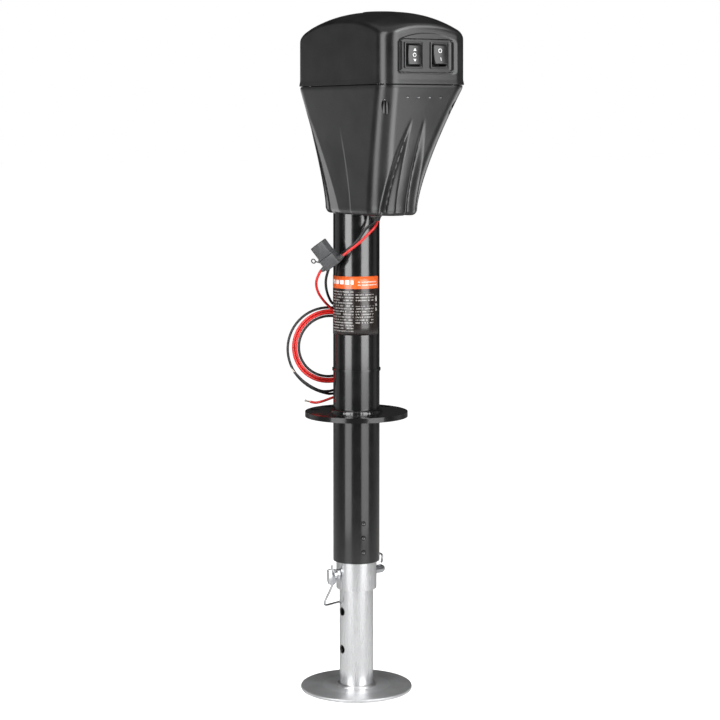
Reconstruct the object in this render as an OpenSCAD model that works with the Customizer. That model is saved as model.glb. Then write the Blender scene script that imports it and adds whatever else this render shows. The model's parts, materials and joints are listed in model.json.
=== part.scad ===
// Electric trailer tongue jack with a pinned drop leg.
// Millimetres, +Z up. The tube axis is the Z axis, Z = 0 is the underside of the foot plate,
// the switches face -Y and the pull pin runs along X with its head at -X.

/* [Tubes] */
// Outside diameter of the fixed outer tube
outer_od = 57; // [50:0.5:64]
// Wall of the outer tube
outer_wall = 3; // [2.5:0.25:3]
// Height of the outer tube's lower end above the ground
outer_bottom = 157; // [150:1:170]
// Outside diameter of the moving inner tube
inner_od = 49.5; // [49:0.5:50]
// Wall of the inner tube
inner_wall = 3.5; // [2.5:0.25:3.5]
// Height of the inner tube's lower end above the ground
inner_bottom = 123; // [118:1:126]
// Screw travel of the inner tube
ram_stroke = 355; // [300:5:360]

/* [Drop leg] */
// Outside diameter of the drop leg
leg_od = 41.5; // [40:0.5:41.5]
// Wall of the drop leg
leg_wall = 3; // [2:0.25:4]
// Distance between the pin holes
hole_pitch = 46; // [40:1:48]
// Height of the lowest pin hole above the ground
first_hole = 49.5; // [48:0.5:52]
// Number of pin holes
hole_count = 7; // [5:1:7]
// Diameter of the pin holes
pin_hole_d = 10.4; // [10:0.1:11]
// Diameter of the pull pin
pin_d = 10; // [8:0.1:10]
// Foot plate diameter
foot_od = 136; // [120:1:160]
// Foot plate thickness
foot_t = 4; // [3:0.5:6]

/* [Mounting flange] */
// Flange diameter
flange_od = 126; // [124:1:150]
// Flange thickness
flange_t = 6; // [5:0.5:8]
// Height of the flange's top face above the ground
flange_top = 339; // [320:1:345]
// Bolt circle diameter
bolt_pcd = 104.8; // [100:0.1:106]
// Bolt hole diameter
bolt_hole_d = 11; // [9:0.5:12]

/* [Head] */
// Width of the head at its seam
head_w = 121; // [118:1:130]
// Distance from the tube axis to the front face at the seam
head_front = 157; // [150:1:165]
// Distance from the tube axis to the rear face at the seam
head_rear = 50; // [50:1:60]
// Corner radius at the seam
head_r = 20; // [14:1:26]
// Width of the head at its bottom
base_w = 69; // [67:1:76]
// Distance from the tube axis to the front face at the bottom
base_front = 98; // [96:1:106]
// Distance from the tube axis to the rear face at the bottom
base_rear = 33; // [33:1:38]
// Moulding wall thickness
shell_wall = 3; // [2:0.25:3]
// Height of the head's underside above the ground
head_bottom = 582; // [578:1:586]
// Height of the seam between lower housing and upper cover
seam_z = 737; // [735:1:740]
// Height of the top of the head
head_top = 826; // [824:1:832]

/* [Switches and lights] */
// Distance between the switch centres
switch_gap = 36; // [34:1:40]
// Height of the switch centres above the ground
switch_z = 771; // [770:1:773]
// Rocker swing to each side of centre
rocker_tilt = 9; // [6:1:10]
// Distance between the work lights
led_gap = 15.5; // [12:0.5:18]

/* [Gears] */
// Gear module
gear_m = 1.5; // [1.5:0.5:1.5]
// Teeth on the screw's gear
main_teeth = 46; // [46:1:46]
// Teeth on the motor's pinion
pinion_teeth = 30; // [30:1:30]
// Gear face width
gear_face = 12; // [8:1:13]

/* [Wiring] */
// Diameter of each lead
lead_d = 3.2; // [2.6:0.1:3.4]
// Radius of the coiled spare lead
coil_r = 44.3; // [42:0.1:45]
// Height of the coil's centre
coil_z = 415.7; // [414:0.1:418]
// Angle of the wiring side, turned about the tube
wiring_turn = -32; // [-36:1:-28]

/* [Hidden] */
$fn = 64;
SLACK = 0.02;
outer_id = outer_od - 2 * outer_wall;
inner_id = inner_od - 2 * inner_wall;
leg_id = leg_od - 2 * leg_wall;
case_z = 693;
case_lid_z = case_z + 30;
gear_z = case_z + 13.5;
gear_distance = gear_m * (main_teeth + pinion_teeth) / 2;
motor_y = -gear_distance;
screw_d = 20;
nut_top = 582;
nut_h = 36;
screw_bottom = nut_top - nut_h - ram_stroke - 31;
pin_z = first_hole + 2 * hole_pitch;
bolt_start = 15;
ring_z = 389.5;
label_z = 434.5;
label_h = 71.5;
flange_z = flange_top - flange_t;
dome_drop_x = 15;
dome_drop_y = 21;
head_y = (head_rear - head_front) / 2;
head_l = head_rear + head_front;
panel_y = -head_front + 3;
panel_z = 750;
pivot_y = panel_y + 1;
gland_y = -45;
led_z = seam_z - 15;
led_y = -head_front + 14.8;
fuse_pos = [-31, -32, 525.5];
fuse_lean = 37;
fuse_yaw = -30;
coil_x = -33.7;
CORNERS = [[1, 1], [-1, 1], [-1, -1], [1, -1]];

// ---------- shared shapes ----------

// A pipe standing on z.
module pipe(od, id, h, z = 0) {
    translate([0, 0, z]) difference() {
        cylinder(d = od, h = h);
        translate([0, 0, -1]) cylinder(d = id, h = h + 2);
    }
}

// A triangular bead around a tube of radius r, wide at its foot.
module bead(r, w, h, z) {
    translate([0, 0, z]) rotate_extrude() polygon([[r, 0], [r + w, 0], [r + w * 0.8, h * 0.45], [r, h]]);
}

function mix(a, b, t) = a + (b - a) * t;
function eased(t) = let (u = max(0, min(1, t))) u * u * (3 - 2 * u);

// Points of a rounded rectangle centred on y = cy, anticlockwise: nine round each corner, five
// along each side.
function rounded(w, l, r, cy) = [for (q = [0 : 3], k = [0 : 13])
    let (s = CORNERS[q], e = CORNERS[(q + 1) % 4], a = q * 90 + min(k, 8) * 90 / 8,
         from = [s[0] * (w / 2 - r), cy + s[1] * (l / 2 - r)],
         to = [e[0] * (w / 2 - r), cy + e[1] * (l / 2 - r)])
    mix(from, to, max(0, k - 8) / 6) + r * [cos(a), sin(a)]];

// A closed shell between two stacks of rings. Each stack runs from the open rim (lowest) to a tip.
module cup(outer, inner, outer_tip, inner_tip) {
    n = len(outer[0]);
    ko = len(outer);
    ki = len(inner);
    points = concat([for (ring = outer) each ring], [for (ring = inner) each ring], [outer_tip, inner_tip]);
    base = ko * n;
    tip = (ko + ki) * n;
    faces = concat(
        [for (k = [0 : ko - 2], i = [0 : n - 1]) each let (j = (i + 1) % n, a = k * n, b = a + n)
            [[a + i, b + i, b + j], [a + i, b + j, a + j]]],
        [for (i = [0 : n - 1]) [(ko - 1) * n + i, tip, (ko - 1) * n + (i + 1) % n]],
        [for (k = [0 : ki - 2], i = [0 : n - 1]) each let (j = (i + 1) % n, a = base + k * n, b = a + n)
            [[a + i, b + j, b + i], [a + i, a + j, b + j]]],
        [for (i = [0 : n - 1]) [base + (ki - 1) * n + (i + 1) % n, tip + 1, base + (ki - 1) * n + i]],
        [for (i = [0 : n - 1]) each let (j = (i + 1) % n)
            [[i, j, base + j], [i, base + j, base + i]]]);
    polyhedron(points, faces);
}

// A round lead of diameter d swept along a path.
module lead(path, d) {
    sides = 8;
    n = len(path);
    points = [for (k = [0 : n - 1])
        let (t = path[min(k + 1, n - 1)] - path[max(k - 1, 0)], u = t / norm(t),
             s = cross(u, [0.31, -0.9, 0.2]), v = s / norm(s), w = cross(u, v))
        for (i = [0 : sides - 1]) path[k] + d / 2 * (cos(i * 360 / sides) * v + sin(i * 360 / sides) * w)];
    faces = concat(
        [[for (i = [0 : sides - 1]) i]],
        [for (k = [0 : n - 2], i = [0 : sides - 1]) each
            let (j = (i + 1) % sides, a = k * sides, b = a + sides)
            [[a + i, b + j, a + j], [a + i, b + i, b + j]]],
        [[for (i = [sides - 1 : -1 : 0]) (n - 1) * sides + i]]);
    polyhedron(points, faces);
}

// A smooth curve through the given points.
function smooth(p, steps = 5) = [for (k = [0 : len(p) - 2], s = [0 : steps - 1])
    let (a = p[max(k - 1, 0)], b = p[k], c = p[k + 1], d = p[min(k + 2, len(p) - 1)], t = s / steps)
    0.5 * (2 * b + (c - a) * t + (2 * a - 5 * b + 4 * c - d) * t * t
        + (3 * b - a - 3 * c + d) * t * t * t)];

// ---------- gears ----------

// Half of a tooth's flank: the involute at roll angle t (degrees) of base radius rb.
function involute(rb, t) = [rb * (cos(t) + t * PI / 180 * sin(t)), rb * (sin(t) - t * PI / 180 * cos(t))];
function turned(p, a) = [p[0] * cos(a) - p[1] * sin(a), p[0] * sin(a) + p[1] * cos(a)];

// A spur gear profile with a little backlash, one tooth centred on angle 0.
module gear_profile(teeth) {
    r = gear_m * teeth / 2;
    rb = r * cos(20);
    tip = r + 0.9 * gear_m;
    root = r - 1.2 * gear_m;
    pitch_roll = sqrt(r * r / (rb * rb) - 1) * 180 / PI;
    tip_roll = sqrt(tip * tip / (rb * rb) - 1) * 180 / PI;
    lean = pitch_roll - atan(pitch_roll * PI / 180);
    half = 90 / teeth - 0.16 / r * 180 / PI;
    flank = [for (s = [0 : 4]) turned(involute(rb, tip_roll * s / 4), -lean - half)];
    polygon([for (k = [0 : teeth - 1]) let (a = k * 360 / teeth) each concat(
        [turned([root, 0], a - 180 / teeth), turned([root, 0], a - 128 / teeth)],
        [for (p = flank) turned(p, a)],
        [for (s = [4 : -1 : 0]) turned([flank[s][0], -flank[s][1]], a)],
        [turned([root, 0], a + 128 / teeth)])]);
}

// ---------- fixed post ----------

module outer_tube() {
    color("#17181a") difference() {
        pipe(outer_od, outer_id, case_z - outer_bottom, outer_bottom);
        for (k = [0 : 2]) rotate([0, 0, -104.5])
            translate([outer_od / 2 + 1.2, 0, outer_bottom + 14 + 17.5 * k])
            sphere(d = 6.4, $fn = 24);
    }
}

module mount_flange() {
    color("#141517") translate([0, 0, flange_z]) difference() {
        cylinder(d = flange_od, h = flange_t, $fn = 96);
        translate([0, 0, -1]) cylinder(d = outer_od + SLACK, h = flange_t + 2);
        for (k = [0 : 2]) rotate([0, 0, bolt_start + 120 * k]) translate([bolt_pcd / 2, 0, -1])
            cylinder(d = bolt_hole_d, h = flange_t + 2);
        for (a = [100, 213]) rotate([0, 0, a]) translate([bolt_pcd / 2 - 2, 0, -1]) {
            for (s = [-2, 2]) translate([0, s, 0]) cylinder(d = 9, h = flange_t + 2);
            translate([-4.5, -2, 0]) cube([9, 4, flange_t + 2]);
        }
    }
}

module flange_weld() {
    color("#1b1c1e") bead(outer_od / 2 + SLACK, 4.5, 8, flange_top);
}

module snap_ring() {
    color("#202124") {
        difference() {
            pipe(outer_od + 2.4, outer_od + SLACK, 3, ring_z);
            rotate([0, 0, wiring_turn + 40]) translate([0, -2, ring_z - 1]) cube([outer_od, 4, 5]);
        }
        for (s = [-1, 1]) rotate([0, 0, wiring_turn + 40])
            translate([outer_od / 2 + 0.9, s * 2.9 - 0.9, ring_z - 1])
            cube([3, 1.8, 5]);
    }
}

module tube_label() {
    color("#e0662a") rotate([0, 0, wiring_turn - 90]) translate([0, 0, label_z]) rotate([0, 0, -105])
        rotate_extrude(angle = 172) translate([outer_od / 2 + SLACK, 0]) square([0.35, label_h]);
}

// ---------- head shells ----------

// Share of the way from the bottom outline to the seam outline at height z.
function flare(z) = pow(max(0, min(1, (z - head_bottom - 9) / (seam_z - head_bottom - 9))), 1.35);

// Lower housing outline at height z, drawn in by inset; heights are mirrored so the rim comes first.
function tub_ring(z, inset) =
    let (t = flare(z), f = mix(base_front, head_front, t), b = mix(base_rear, head_rear, t))
    [for (p = rounded(mix(base_w, head_w, t) - 2 * inset, f + b - 2 * inset,
                      mix(14, head_r, t) - min(inset, 8), (b - f) / 2)) [p[0], p[1], -z]];

// Puts the children on the four housing screw axes, turned so +X points out of the corner.
module at_corners() {
    for (x = [-1, 1], y = [-1, 1])
        translate([x * 47, y > 0 ? head_rear - 18.5 : -head_front + 18.5, 0])
            rotate([0, 0, atan2(y, x)]) children();
}

// Roof and inward wall of the recess a housing screw sits in.
module screw_pocket() {
    translate([0, 0, seam_z - 14]) cylinder(d = 13, h = 13.5);
    translate([0, -1.5, seam_z - 6]) cube([10.5, 3, 5.5]);
    intersection() {
        translate([0, 0, seam_z - 31]) cylinder(d = 13, h = 18);
        translate([-20, -20, seam_z - 31]) cube([17, 40, 20]);
    }
}

module lower_housing() {
    rise = seam_z - head_bottom;
    outer = concat([for (s = [0 : 9]) tub_ring(seam_z - s * (rise - 8) / 9, 0)],
        [tub_ring(head_bottom + 4, 1), tub_ring(head_bottom + 1.5, 3.5), tub_ring(head_bottom, 7)]);
    inner = [for (s = [0 : 7]) tub_ring(seam_z - s * (rise - 9 - shell_wall) / 7, shell_wall),
        tub_ring(head_bottom + shell_wall, 8)];
    color("#131416") difference() {
        union() {
            mirror([0, 0, 1]) cup(outer, inner, [0, -32, -head_bottom], [0, -32, -head_bottom - shell_wall]);
            at_corners() screw_pocket();
        }
        translate([0, 0, head_bottom - 1]) cylinder(d = outer_od + 0.6, h = shell_wall + 12);
        translate([0, gland_y, head_bottom - 1]) cylinder(d = 10.2, h = shell_wall + 2);
        at_corners() {
            translate([0, 0, seam_z - 90]) cylinder(d = 10, h = 76);
            translate([0, 0, seam_z - 20]) cylinder(d = 4.4, h = 30);
        }
        for (k = [-1.5 : 1.5]) translate([k * led_gap, -head_front + 30, led_z]) rotate([90, 0, 0])
            cylinder(d = 3.1, h = 40, $fn = 24);
    }
}

// Upper cover ring: outline scaled by s, crowned so the corners are lowest.
function crown(p) = head_top - dome_drop_x * pow(p[0] * 2 / head_w, 2)
    - dome_drop_y * pow((p[1] - head_y) * 2 / head_l, 2);
function cover_outline(inset) =
    rounded(head_w + 2 - 2 * inset, head_l + 2 - 2 * inset, head_r + 1 - min(inset, 8), head_y);
function wall_ring(z, inset) = [for (p = cover_outline(inset)) [p[0], p[1], z]];
function dome_ring(s, inset, drop) =
    [for (p = cover_outline(inset)) let (q = [p[0] * s, head_y + (p[1] - head_y) * s])
    [q[0], q[1], crown(q) - drop]];

module cover_solid() {
    outer = concat([wall_ring(seam_z, 0), wall_ring(seam_z + 30, 0.4)],
        [for (d = [[0.8, 6], [1.6, 2.6], [3.6, 0.8], [6.5, 0]]) dome_ring(1, d[0], d[1])],
        [for (s = [0.8, 0.55, 0.3]) dome_ring(s, 6.5, 0)]);
    inner = concat([wall_ring(seam_z, shell_wall)],
        [dome_ring(1, shell_wall + 1, 8), dome_ring(0.96, shell_wall + 2, shell_wall + 1)],
        [for (s = [0.75, 0.5, 0.3]) dome_ring(s, 6.5, shell_wall)]);
    cup(outer, inner, [0, head_y, head_top], [0, head_y, head_top - shell_wall]);
}

// Arched outline of the switch panel, standing in the front face.
module panel_shape(grow, depth) {
    translate([0, 0, panel_z - grow]) rotate([90, 0, 0]) linear_extrude(depth) intersection() {
        translate([-39 - grow, 0]) square([78 + 2 * grow, 60]);
        translate([0, -88 + grow]) circle(r = 133 + grow, $fn = 180);
    }
}

module upper_cover() {
    color("#131416") difference() {
        union() {
            cover_solid();
            at_corners() translate([0, 0, seam_z]) {
                cylinder(d = 10, h = 24);
                translate([0, -1.5, 0]) cube([14, 3, 24]);
            }
            translate([0, motor_y, head_top - 13]) cylinder(d = 58, h = 9);
        }
        translate([0, motor_y, head_top - 4.5]) cylinder(d = 49, h = 20);
        translate([0, motor_y, head_top - 20]) cylinder(d = 36, h = 40);
        at_corners() translate([0, 0, seam_z - 1]) cylinder(d = 4.02, h = 22);
        translate([0, -head_front + 8, 0]) panel_shape(0.2, 20);
    }
}

module switch_panel() {
    color("#1c1d20") difference() {
        translate([0, panel_y + 3, 0]) panel_shape(1, 2.9);
        for (x = [-1, 1])
            translate([x * switch_gap / 2 - 10, panel_y - 2, switch_z - 13.5]) cube([20, 8, 27]);
    }
}

// One switch body with its bezel and rocker pivot bores.
module switch_body() {
    difference() {
        union() {
            translate([-12, panel_y - 1.8, switch_z - 15.5]) cube([24, 1.78, 31]);
            translate([-9.9, panel_y - 1.8, switch_z - 13.4]) cube([19.8, 22, 26.8]);
            translate([-7, panel_y + 20, switch_z - 10]) cube([1, 7, 6]);
            translate([-0.5, panel_y + 20, switch_z - 3]) cube([1, 7, 6]);
            translate([6, panel_y + 20, switch_z + 4]) cube([1, 7, 6]);
        }
        translate([-7.8, panel_y - 3, switch_z - 11.9]) cube([15.6, 17, 23.8]);
        translate([-9, pivot_y + 3, switch_z]) rotate([0, 90, 0]) cylinder(d = 4.1, h = 18, $fn = 32);
    }
}

module switch_bodies() {
    color("#0e0f10") for (x = [-1, 1]) translate([x * switch_gap / 2, 0, 0]) switch_body();
}

// A rocker on its pivot, tilted about X.
module rocker(tilt) {
    translate([0, pivot_y + 3, switch_z]) rotate([tilt, 0, 0]) {
        rotate([90, 0, 90]) translate([0, 0, -7.5]) linear_extrude(15)
            polygon([[-6.6, -10.2], [-5.2, 0], [-6.6, 10.2], [-1, 10.6], [3.5, 4], [3.5, -4], [-1, -10.6]]);
        translate([-8.9, 0, 0]) rotate([0, 90, 0]) cylinder(d = 4, h = 17.8, $fn = 32);
    }
}

module jack_rocker() {
    color("#0a0a0b") translate([-switch_gap / 2, 0, 0]) rocker(0);
}

module light_rocker() {
    color("#0a0a0b") translate([switch_gap / 2, 0, 0]) rocker(-rocker_tilt);
}

module led_board() {
    color("#1f5c38") translate([-32, led_y + 0.1, led_z - 4]) cube([64, 1.6, 11]);
}

// Lenses stand in their holes between the board and the front face.
module led_lenses() {
    color("#e8eef5") for (k = [-1.5 : 1.5]) translate([k * led_gap, led_y, led_z])
        rotate([90, 0, 0]) {
            cylinder(d = 3, h = 6.6, $fn = 24);
            translate([0, 0, 6.6]) cylinder(d1 = 3, d2 = 1.8, h = 1, $fn = 24);
        }
}

module housing_screws() {
    color("#b9bdc2") at_corners() translate([0, 0, seam_z - 18]) {
        difference() {
            cylinder(d = 8, h = 3.9, $fn = 32);
            for (a = [0, 90]) rotate([0, 0, a]) translate([-2.4, -0.5, -1]) cube([4.8, 1, 2.6]);
        }
        translate([0, 0, 3.9]) cylinder(d = 4, h = 20, $fn = 32);
    }
}

// ---------- drive ----------

// Plan of the gear case, grown by g.
module case_plan(g) {
    circle(r = 37.4 + g);
    translate([0, motor_y]) circle(r = 25.4 + g);
    translate([-22 - g, motor_y]) square([44 + 2 * g, gear_distance - 15]);
}

CASE_BOLTS = [[-32, 29], [32, 29], [-26.5, -73], [26.5, -73]];

module gear_case() {
    color("#8d9093") difference() {
        union() {
            translate([0, 0, case_z]) linear_extrude(case_lid_z - case_z) case_plan(2.5);
            for (p = CASE_BOLTS) translate([p[0], p[1], case_z + 12])
                cylinder(d = 8, h = case_lid_z - case_z - 12);
            translate([0, 0, case_z - 22]) difference() {
                cylinder(d = outer_od + 9, h = 22);
                translate([0, 0, -1]) cylinder(d = outer_od + SLACK, h = 24);
                translate([-50, -29 - 60, -1]) cube([100, 60, 24]);
            }
        }
        translate([0, 0, case_z + 10]) linear_extrude(40) case_plan(0);
        translate([0, 0, case_z + 4]) cylinder(d = 36, h = 10);
        translate([0, 0, case_z - 1]) cylinder(d = screw_d + 1, h = 20);
        translate([0, motor_y, case_z - 1]) cylinder(d = 10.4, h = 20);
        for (p = CASE_BOLTS) translate([p[0], p[1], case_lid_z - 14]) cylinder(d = 3.3, h = 20);
    }
}

module gear_case_lid() {
    color("#9a9da0") translate([0, 0, case_lid_z]) difference() {
        union() {
            linear_extrude(5) case_plan(2.5);
            for (p = CASE_BOLTS) translate([p[0], p[1], 0]) cylinder(d = 8, h = 5);
        }
        translate([0, motor_y, -1]) cylinder(d = 12.1, h = 8);
        for (p = CASE_BOLTS) translate([p[0], p[1], -1]) cylinder(d = 3.4, h = 8);
    }
}

module case_screws() {
    color("#70757a") for (p = CASE_BOLTS) translate([p[0], p[1], case_lid_z - 12]) {
        cylinder(d = 3.2, h = 17, $fn = 24);
        translate([0, 0, 17]) difference() {
            cylinder(d = 6, h = 3, $fn = 32);
            translate([0, 0, 1.2]) cylinder(d = 2.9, h = 3, $fn = 6);
        }
    }
}

module gear_motor() {
    color("#6f7276") translate([0, motor_y, 0]) {
        translate([0, 0, case_z - 90]) cylinder(d = 55, h = 62);
        translate([0, 0, case_z - 28]) cylinder(d = 50, h = 27.9);
        translate([0, 0, case_z - 95]) cylinder(d = 38, h = 5);
        for (s = [-1, 1]) translate([s * 12 - 1, -8, case_z - 100]) cube([2, 6, 5]);
    }
}

module thrust_bearing() {
    color("#c3c7cc") pipe(35.9, screw_d + 0.6, 5.9, case_z + 4);
}

module lead_screw() {
    color("#8b8f94") {
        translate([0, 0, screw_bottom + 3]) cylinder(d = screw_d, h = case_z + 10 - screw_bottom - 3);
        translate([0, 0, screw_bottom]) cylinder(d1 = screw_d - 6, d2 = screw_d, h = 3);
        translate([0, 0, case_z + 10]) cylinder(d = 32, h = gear_z - case_z - 10);
        translate([0, 0, gear_z]) cylinder(d = 16, h = gear_face + 3);
    }
}

module main_gear() {
    color("#a9adb2") translate([0, 0, gear_z + 0.05]) difference() {
        linear_extrude(gear_face) rotate([0, 0, -90]) gear_profile(main_teeth);
        translate([0, 0, -1]) cylinder(d = 16.04, h = gear_face + 2);
        for (k = [0 : 4]) rotate([0, 0, 18 + 72 * k]) translate([21, 0, -1])
            cylinder(d = 12, h = gear_face + 2);
    }
}

// Pinion with the motor shaft below and the hand-crank hexagon above.
module motor_pinion() {
    color("#b4b8bc") translate([0, motor_y, 0]) {
        translate([0, 0, gear_z + 0.05]) linear_extrude(gear_face)
            rotate([0, 0, 90 + 180 / pinion_teeth]) gear_profile(pinion_teeth);
        translate([0, 0, case_z + 0.1]) cylinder(d = 10, h = gear_z - case_z);
        translate([0, 0, gear_z + gear_face]) cylinder(d = 12, h = case_lid_z + 6 - gear_z - gear_face);
        translate([0, 0, case_lid_z + 6]) cylinder(d = 17, h = 77, $fn = 6);
    }
}

module cable_gland() {
    color("#1a1b1d") translate([0, gland_y, 0]) difference() {
        union() {
            translate([0, 0, head_bottom - 1]) cylinder(d = 10, h = 12);
            translate([0, 0, head_bottom - 3]) cylinder(d = 15, h = 2.98, $fn = 6);
            translate([0, 0, head_bottom - 8]) cylinder(d1 = 8.5, d2 = 12, h = 5);
        }
        for (s = [-1, 1]) translate([s * 1.9, 0, head_bottom - 10]) cylinder(d = lead_d + 1.2, h = 30);
    }
}

// ---------- wiring, built on a plane turned with the wiring side ----------

module wiring_side() {
    rotate([0, 0, wiring_turn]) children();
}

// Gland outlets seen in the wiring plane.
function outlet(s) = let (x = s * 1.9, y = gland_y)
    [x * cos(wiring_turn) + y * sin(wiring_turn), -x * sin(wiring_turn) + y * cos(wiring_turn)];
// A point of the fuse holder: u along it, v through it, w up it.
function fuse_point(u, v = 0, w = -3.2) =
    let (x = u * cos(fuse_yaw) - v * sin(fuse_yaw), y = u * sin(fuse_yaw) + v * cos(fuse_yaw))
    fuse_pos + [x * cos(fuse_lean) - w * sin(fuse_lean), y, x * sin(fuse_lean) + w * cos(fuse_lean)];

// A point at angle a of a coil wound clockwise from its top. Turn n crosses behind the tube from radius
// tops[n] to bottoms[n], standing off by offs[n], then comes round the open side at depth
// depths[n + 1] to radius tops[n + 1].
function coil(a, tops, bottoms, depths, offs, belly) =
    let (s = (90 - a) / 360, n = floor(s), t = 2 * (s - n), u = t - 1,
         r = coil_r + (t < 1 ? mix(tops[n], bottoms[n], eased((t - 0.33) / 0.34))
             : mix(tops[n + 1], bottoms[n], pow(1 - u, 4)) + belly[n] * sin(180 * u)),
         d = t < 1 ? mix(depths[n], depths[n + 1], eased(t)) + offs[n] * eased(3 * min(t, 1 - t))
                   : depths[n + 1],
         h = coil_x + r * cos(a))
    [h, 36.5 + 0.3 * h + d, coil_z + r * sin(a)];

module red_lead() {
    start = outlet(1);
    gland_to_fuse = smooth([[start[0], start[1], head_bottom + 8], [start[0], start[1], head_bottom - 2],
        [start[0], start[1], head_bottom - 9], [21.5, -41.5, 566], [14, -44.5, 558.5], [5, -45.3, 549.5],
        [-5, -45, 541.5], [-11, -43.9, 536.9], fuse_point(21), fuse_point(19.3)]);
    turns = [for (a = [48 : -12 : -1152])
        coil(a, [3.7, 0, -3.4, -1.6], [0, -3.4, -1.6, 18.7], [0, 0, 0, 3.4, -4],
             [-3.9, 0, 3.6, 13.4], [0, 0, 0])];
    fuse_to_tip = concat(
        smooth([fuse_point(-19.3), fuse_point(-21.5), [-48, -17, 502.5], [-49, -10, 494], [-46.5, -2, 484],
            [-41, 8, 474.5], [-34.4, 17, 466.4], [-27, 23.8, 459.6], [-16, 28, 456], turns[0]]),
        turns, smooth([[-31, 21, 352], [-41, 17, 348.8], [-50, 14, 347.2], [-57, 13.5, 348.4]]));
    color("#c81e1e") wiring_side() {
        lead(gland_to_fuse, lead_d);
        lead(fuse_to_tip, lead_d);
    }
}

module black_lead() {
    start = outlet(-1);
    turns = [for (a = [48 : -12 : -792])
        coil(a, [8.7, 3.6, -6.9], [15.1, -6.9, 10.7], [-1, 0, 0, -4], [0, 9, 15], [2.4, 0])];
    color("#0c0c0d") wiring_side() lead(concat(
        smooth([[start[0], start[1], head_bottom + 8], [start[0], start[1], head_bottom - 2],
            [start[0], start[1], head_bottom - 9], [16, -38.5, 568.5], [10.6, -38, 563.5],
            [4.5, -37.5, 554.5], [-3, -36.5, 546], [-10.5, -34, 539.5], [-22, -24.5, 530],
            [-31, -16, 519.5], [-35.5, -10, 508.8], [-37.5, -5, 498], [-36.6, 2, 487],
            [-33.5, 12, 476.5], [-28.5, 21, 468.5], [-17, 28.5, 464.8], turns[0]]),
        turns,
        smooth([[-33, 22.5, 360.3], [-43.6, 19, 361], [-55, 14.5, 366.5],
                [-67, 10.5, 375.5], [-76.5, 9, 385.5]])), lead_d);
}

// Holder placement: leaning along the leads, in front of the tube.
module fuse_place() {
    wiring_side() translate(fuse_pos) rotate([0, -fuse_lean, 0]) rotate([0, 0, fuse_yaw]) children();
}

module fuse_body() {
    color("#3a3c3f") fuse_place() {
        difference() {
            translate([-10.5, -5.5, -7.5]) cube([21, 11, 15]);
            translate([-8, -3, -3]) cube([16, 6, 11]);
        }
        for (s = [-1, 1]) translate([s * 10.5, 0, -3.2]) rotate([0, s * 90, 0])
            cylinder(d1 = 6.4, d2 = 5, h = 8.5);
        translate([-10.5, -3, 4]) rotate([0, -43, 0]) cylinder(d = 1.6, h = 8, $fn = 16);
        translate([-18.4, -3, 12]) rotate([90, 0, 0]) rotate_extrude()
            translate([2.6, 0]) circle(d = 1.5, $fn = 16);
    }
}

module blade_fuse() {
    color("#2f7fd0") fuse_place() {
        translate([-7, -1.8, 1]) cube([14, 3.6, 13]);
        for (s = [-1, 1]) translate([s * 4.6 - 1.6, -0.35, -2.8]) cube([3.2, 0.7, 4]);
    }
}

module fuse_cap() {
    color("#34363a") fuse_place() difference() {
        union() {
            translate([-9.2, -5.6, 7.55]) cube([18.4, 11.2, 17.5]);
            for (k = [-3 : 3]) translate([k * 2.2 - 0.45, -6, 10]) cube([0.9, 12, 13]);
        }
        translate([-7.6, -3.2, 6]) cube([15.2, 6.4, 15]);
    }
}

// ---------- moving column ----------

module inner_tube() {
    color("#b7babd") difference() {
        pipe(inner_od, inner_id, nut_top - inner_bottom, inner_bottom);
        translate([-40, 0, pin_z]) rotate([0, 90, 0]) cylinder(d = pin_hole_d, h = 80);
    }
}

module ram_nut() {
    color("#a8833f") pipe(inner_id - SLACK, screw_d + 0.3, nut_h, nut_top - nut_h);
}

module drop_leg() {
    color("#b7babd") difference() {
        pipe(leg_od, leg_id, first_hole + (hole_count - 1) * hole_pitch + 18 - foot_t, foot_t);
        for (k = [0 : hole_count - 1]) translate([-40, 0, first_hole + k * hole_pitch]) rotate([0, 90, 0])
            cylinder(d = pin_hole_d, h = 80);
    }
}

module foot_plate() {
    color("#b3b6ba") cylinder(d = foot_od, h = foot_t, $fn = 96);
}

module foot_weld() {
    color("#a2a5a8") bead(leg_od / 2 + SLACK, 4.5, 4.5, foot_t);
}

module pull_pin() {
    color("#c2c5c9") translate([0, 0, pin_z]) {
        translate([-32, 0, 0]) rotate([0, 90, 0]) cylinder(d = pin_d, h = 69);
        translate([37, 0, 0]) rotate([0, 90, 0]) cylinder(d1 = pin_d, d2 = 5, h = 3.5);
        translate([-29, 0, 0]) rotate([0, 90, 0]) cylinder(d = 13, h = 3);
        difference() {
            union() {
                translate([-41, -2.2, -6]) cube([12, 4.4, 13]);
                translate([-35, 2.2, -6]) rotate([90, 0, 0]) cylinder(d = 12, h = 4.4);
            }
            translate([-35, 0, 0]) translate([0, 0, -20]) cylinder(d = 3.2, h = 40);
        }
    }
}

module pin_bail() {
    color("#c8cbcf") translate([0, 0, pin_z]) lead(concat(
        [[-35, 0, 12], [-35, 0, 4]],
        smooth([[-35, 0, -13], [-36.8, 1.8, -19], [-39.9, 8.4, -33], [-36.5, 13.4, -38.5],
            [-26.9, 19.2, -40.5], [-5.3, 29.3, -42], [15.9, 25.4, -41], [28.9, 16.1, -33],
            [33, 10, -20], [33.5, 8.6, -8], [33.5, 8.6, 6], [36.5, 8.6, 14], [39.5, 8, 16.5],
            [41, 5, 14.5], [38.5, 1.8, 10], [36.5, 0, 7.6]])), 2.6);
}

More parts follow.
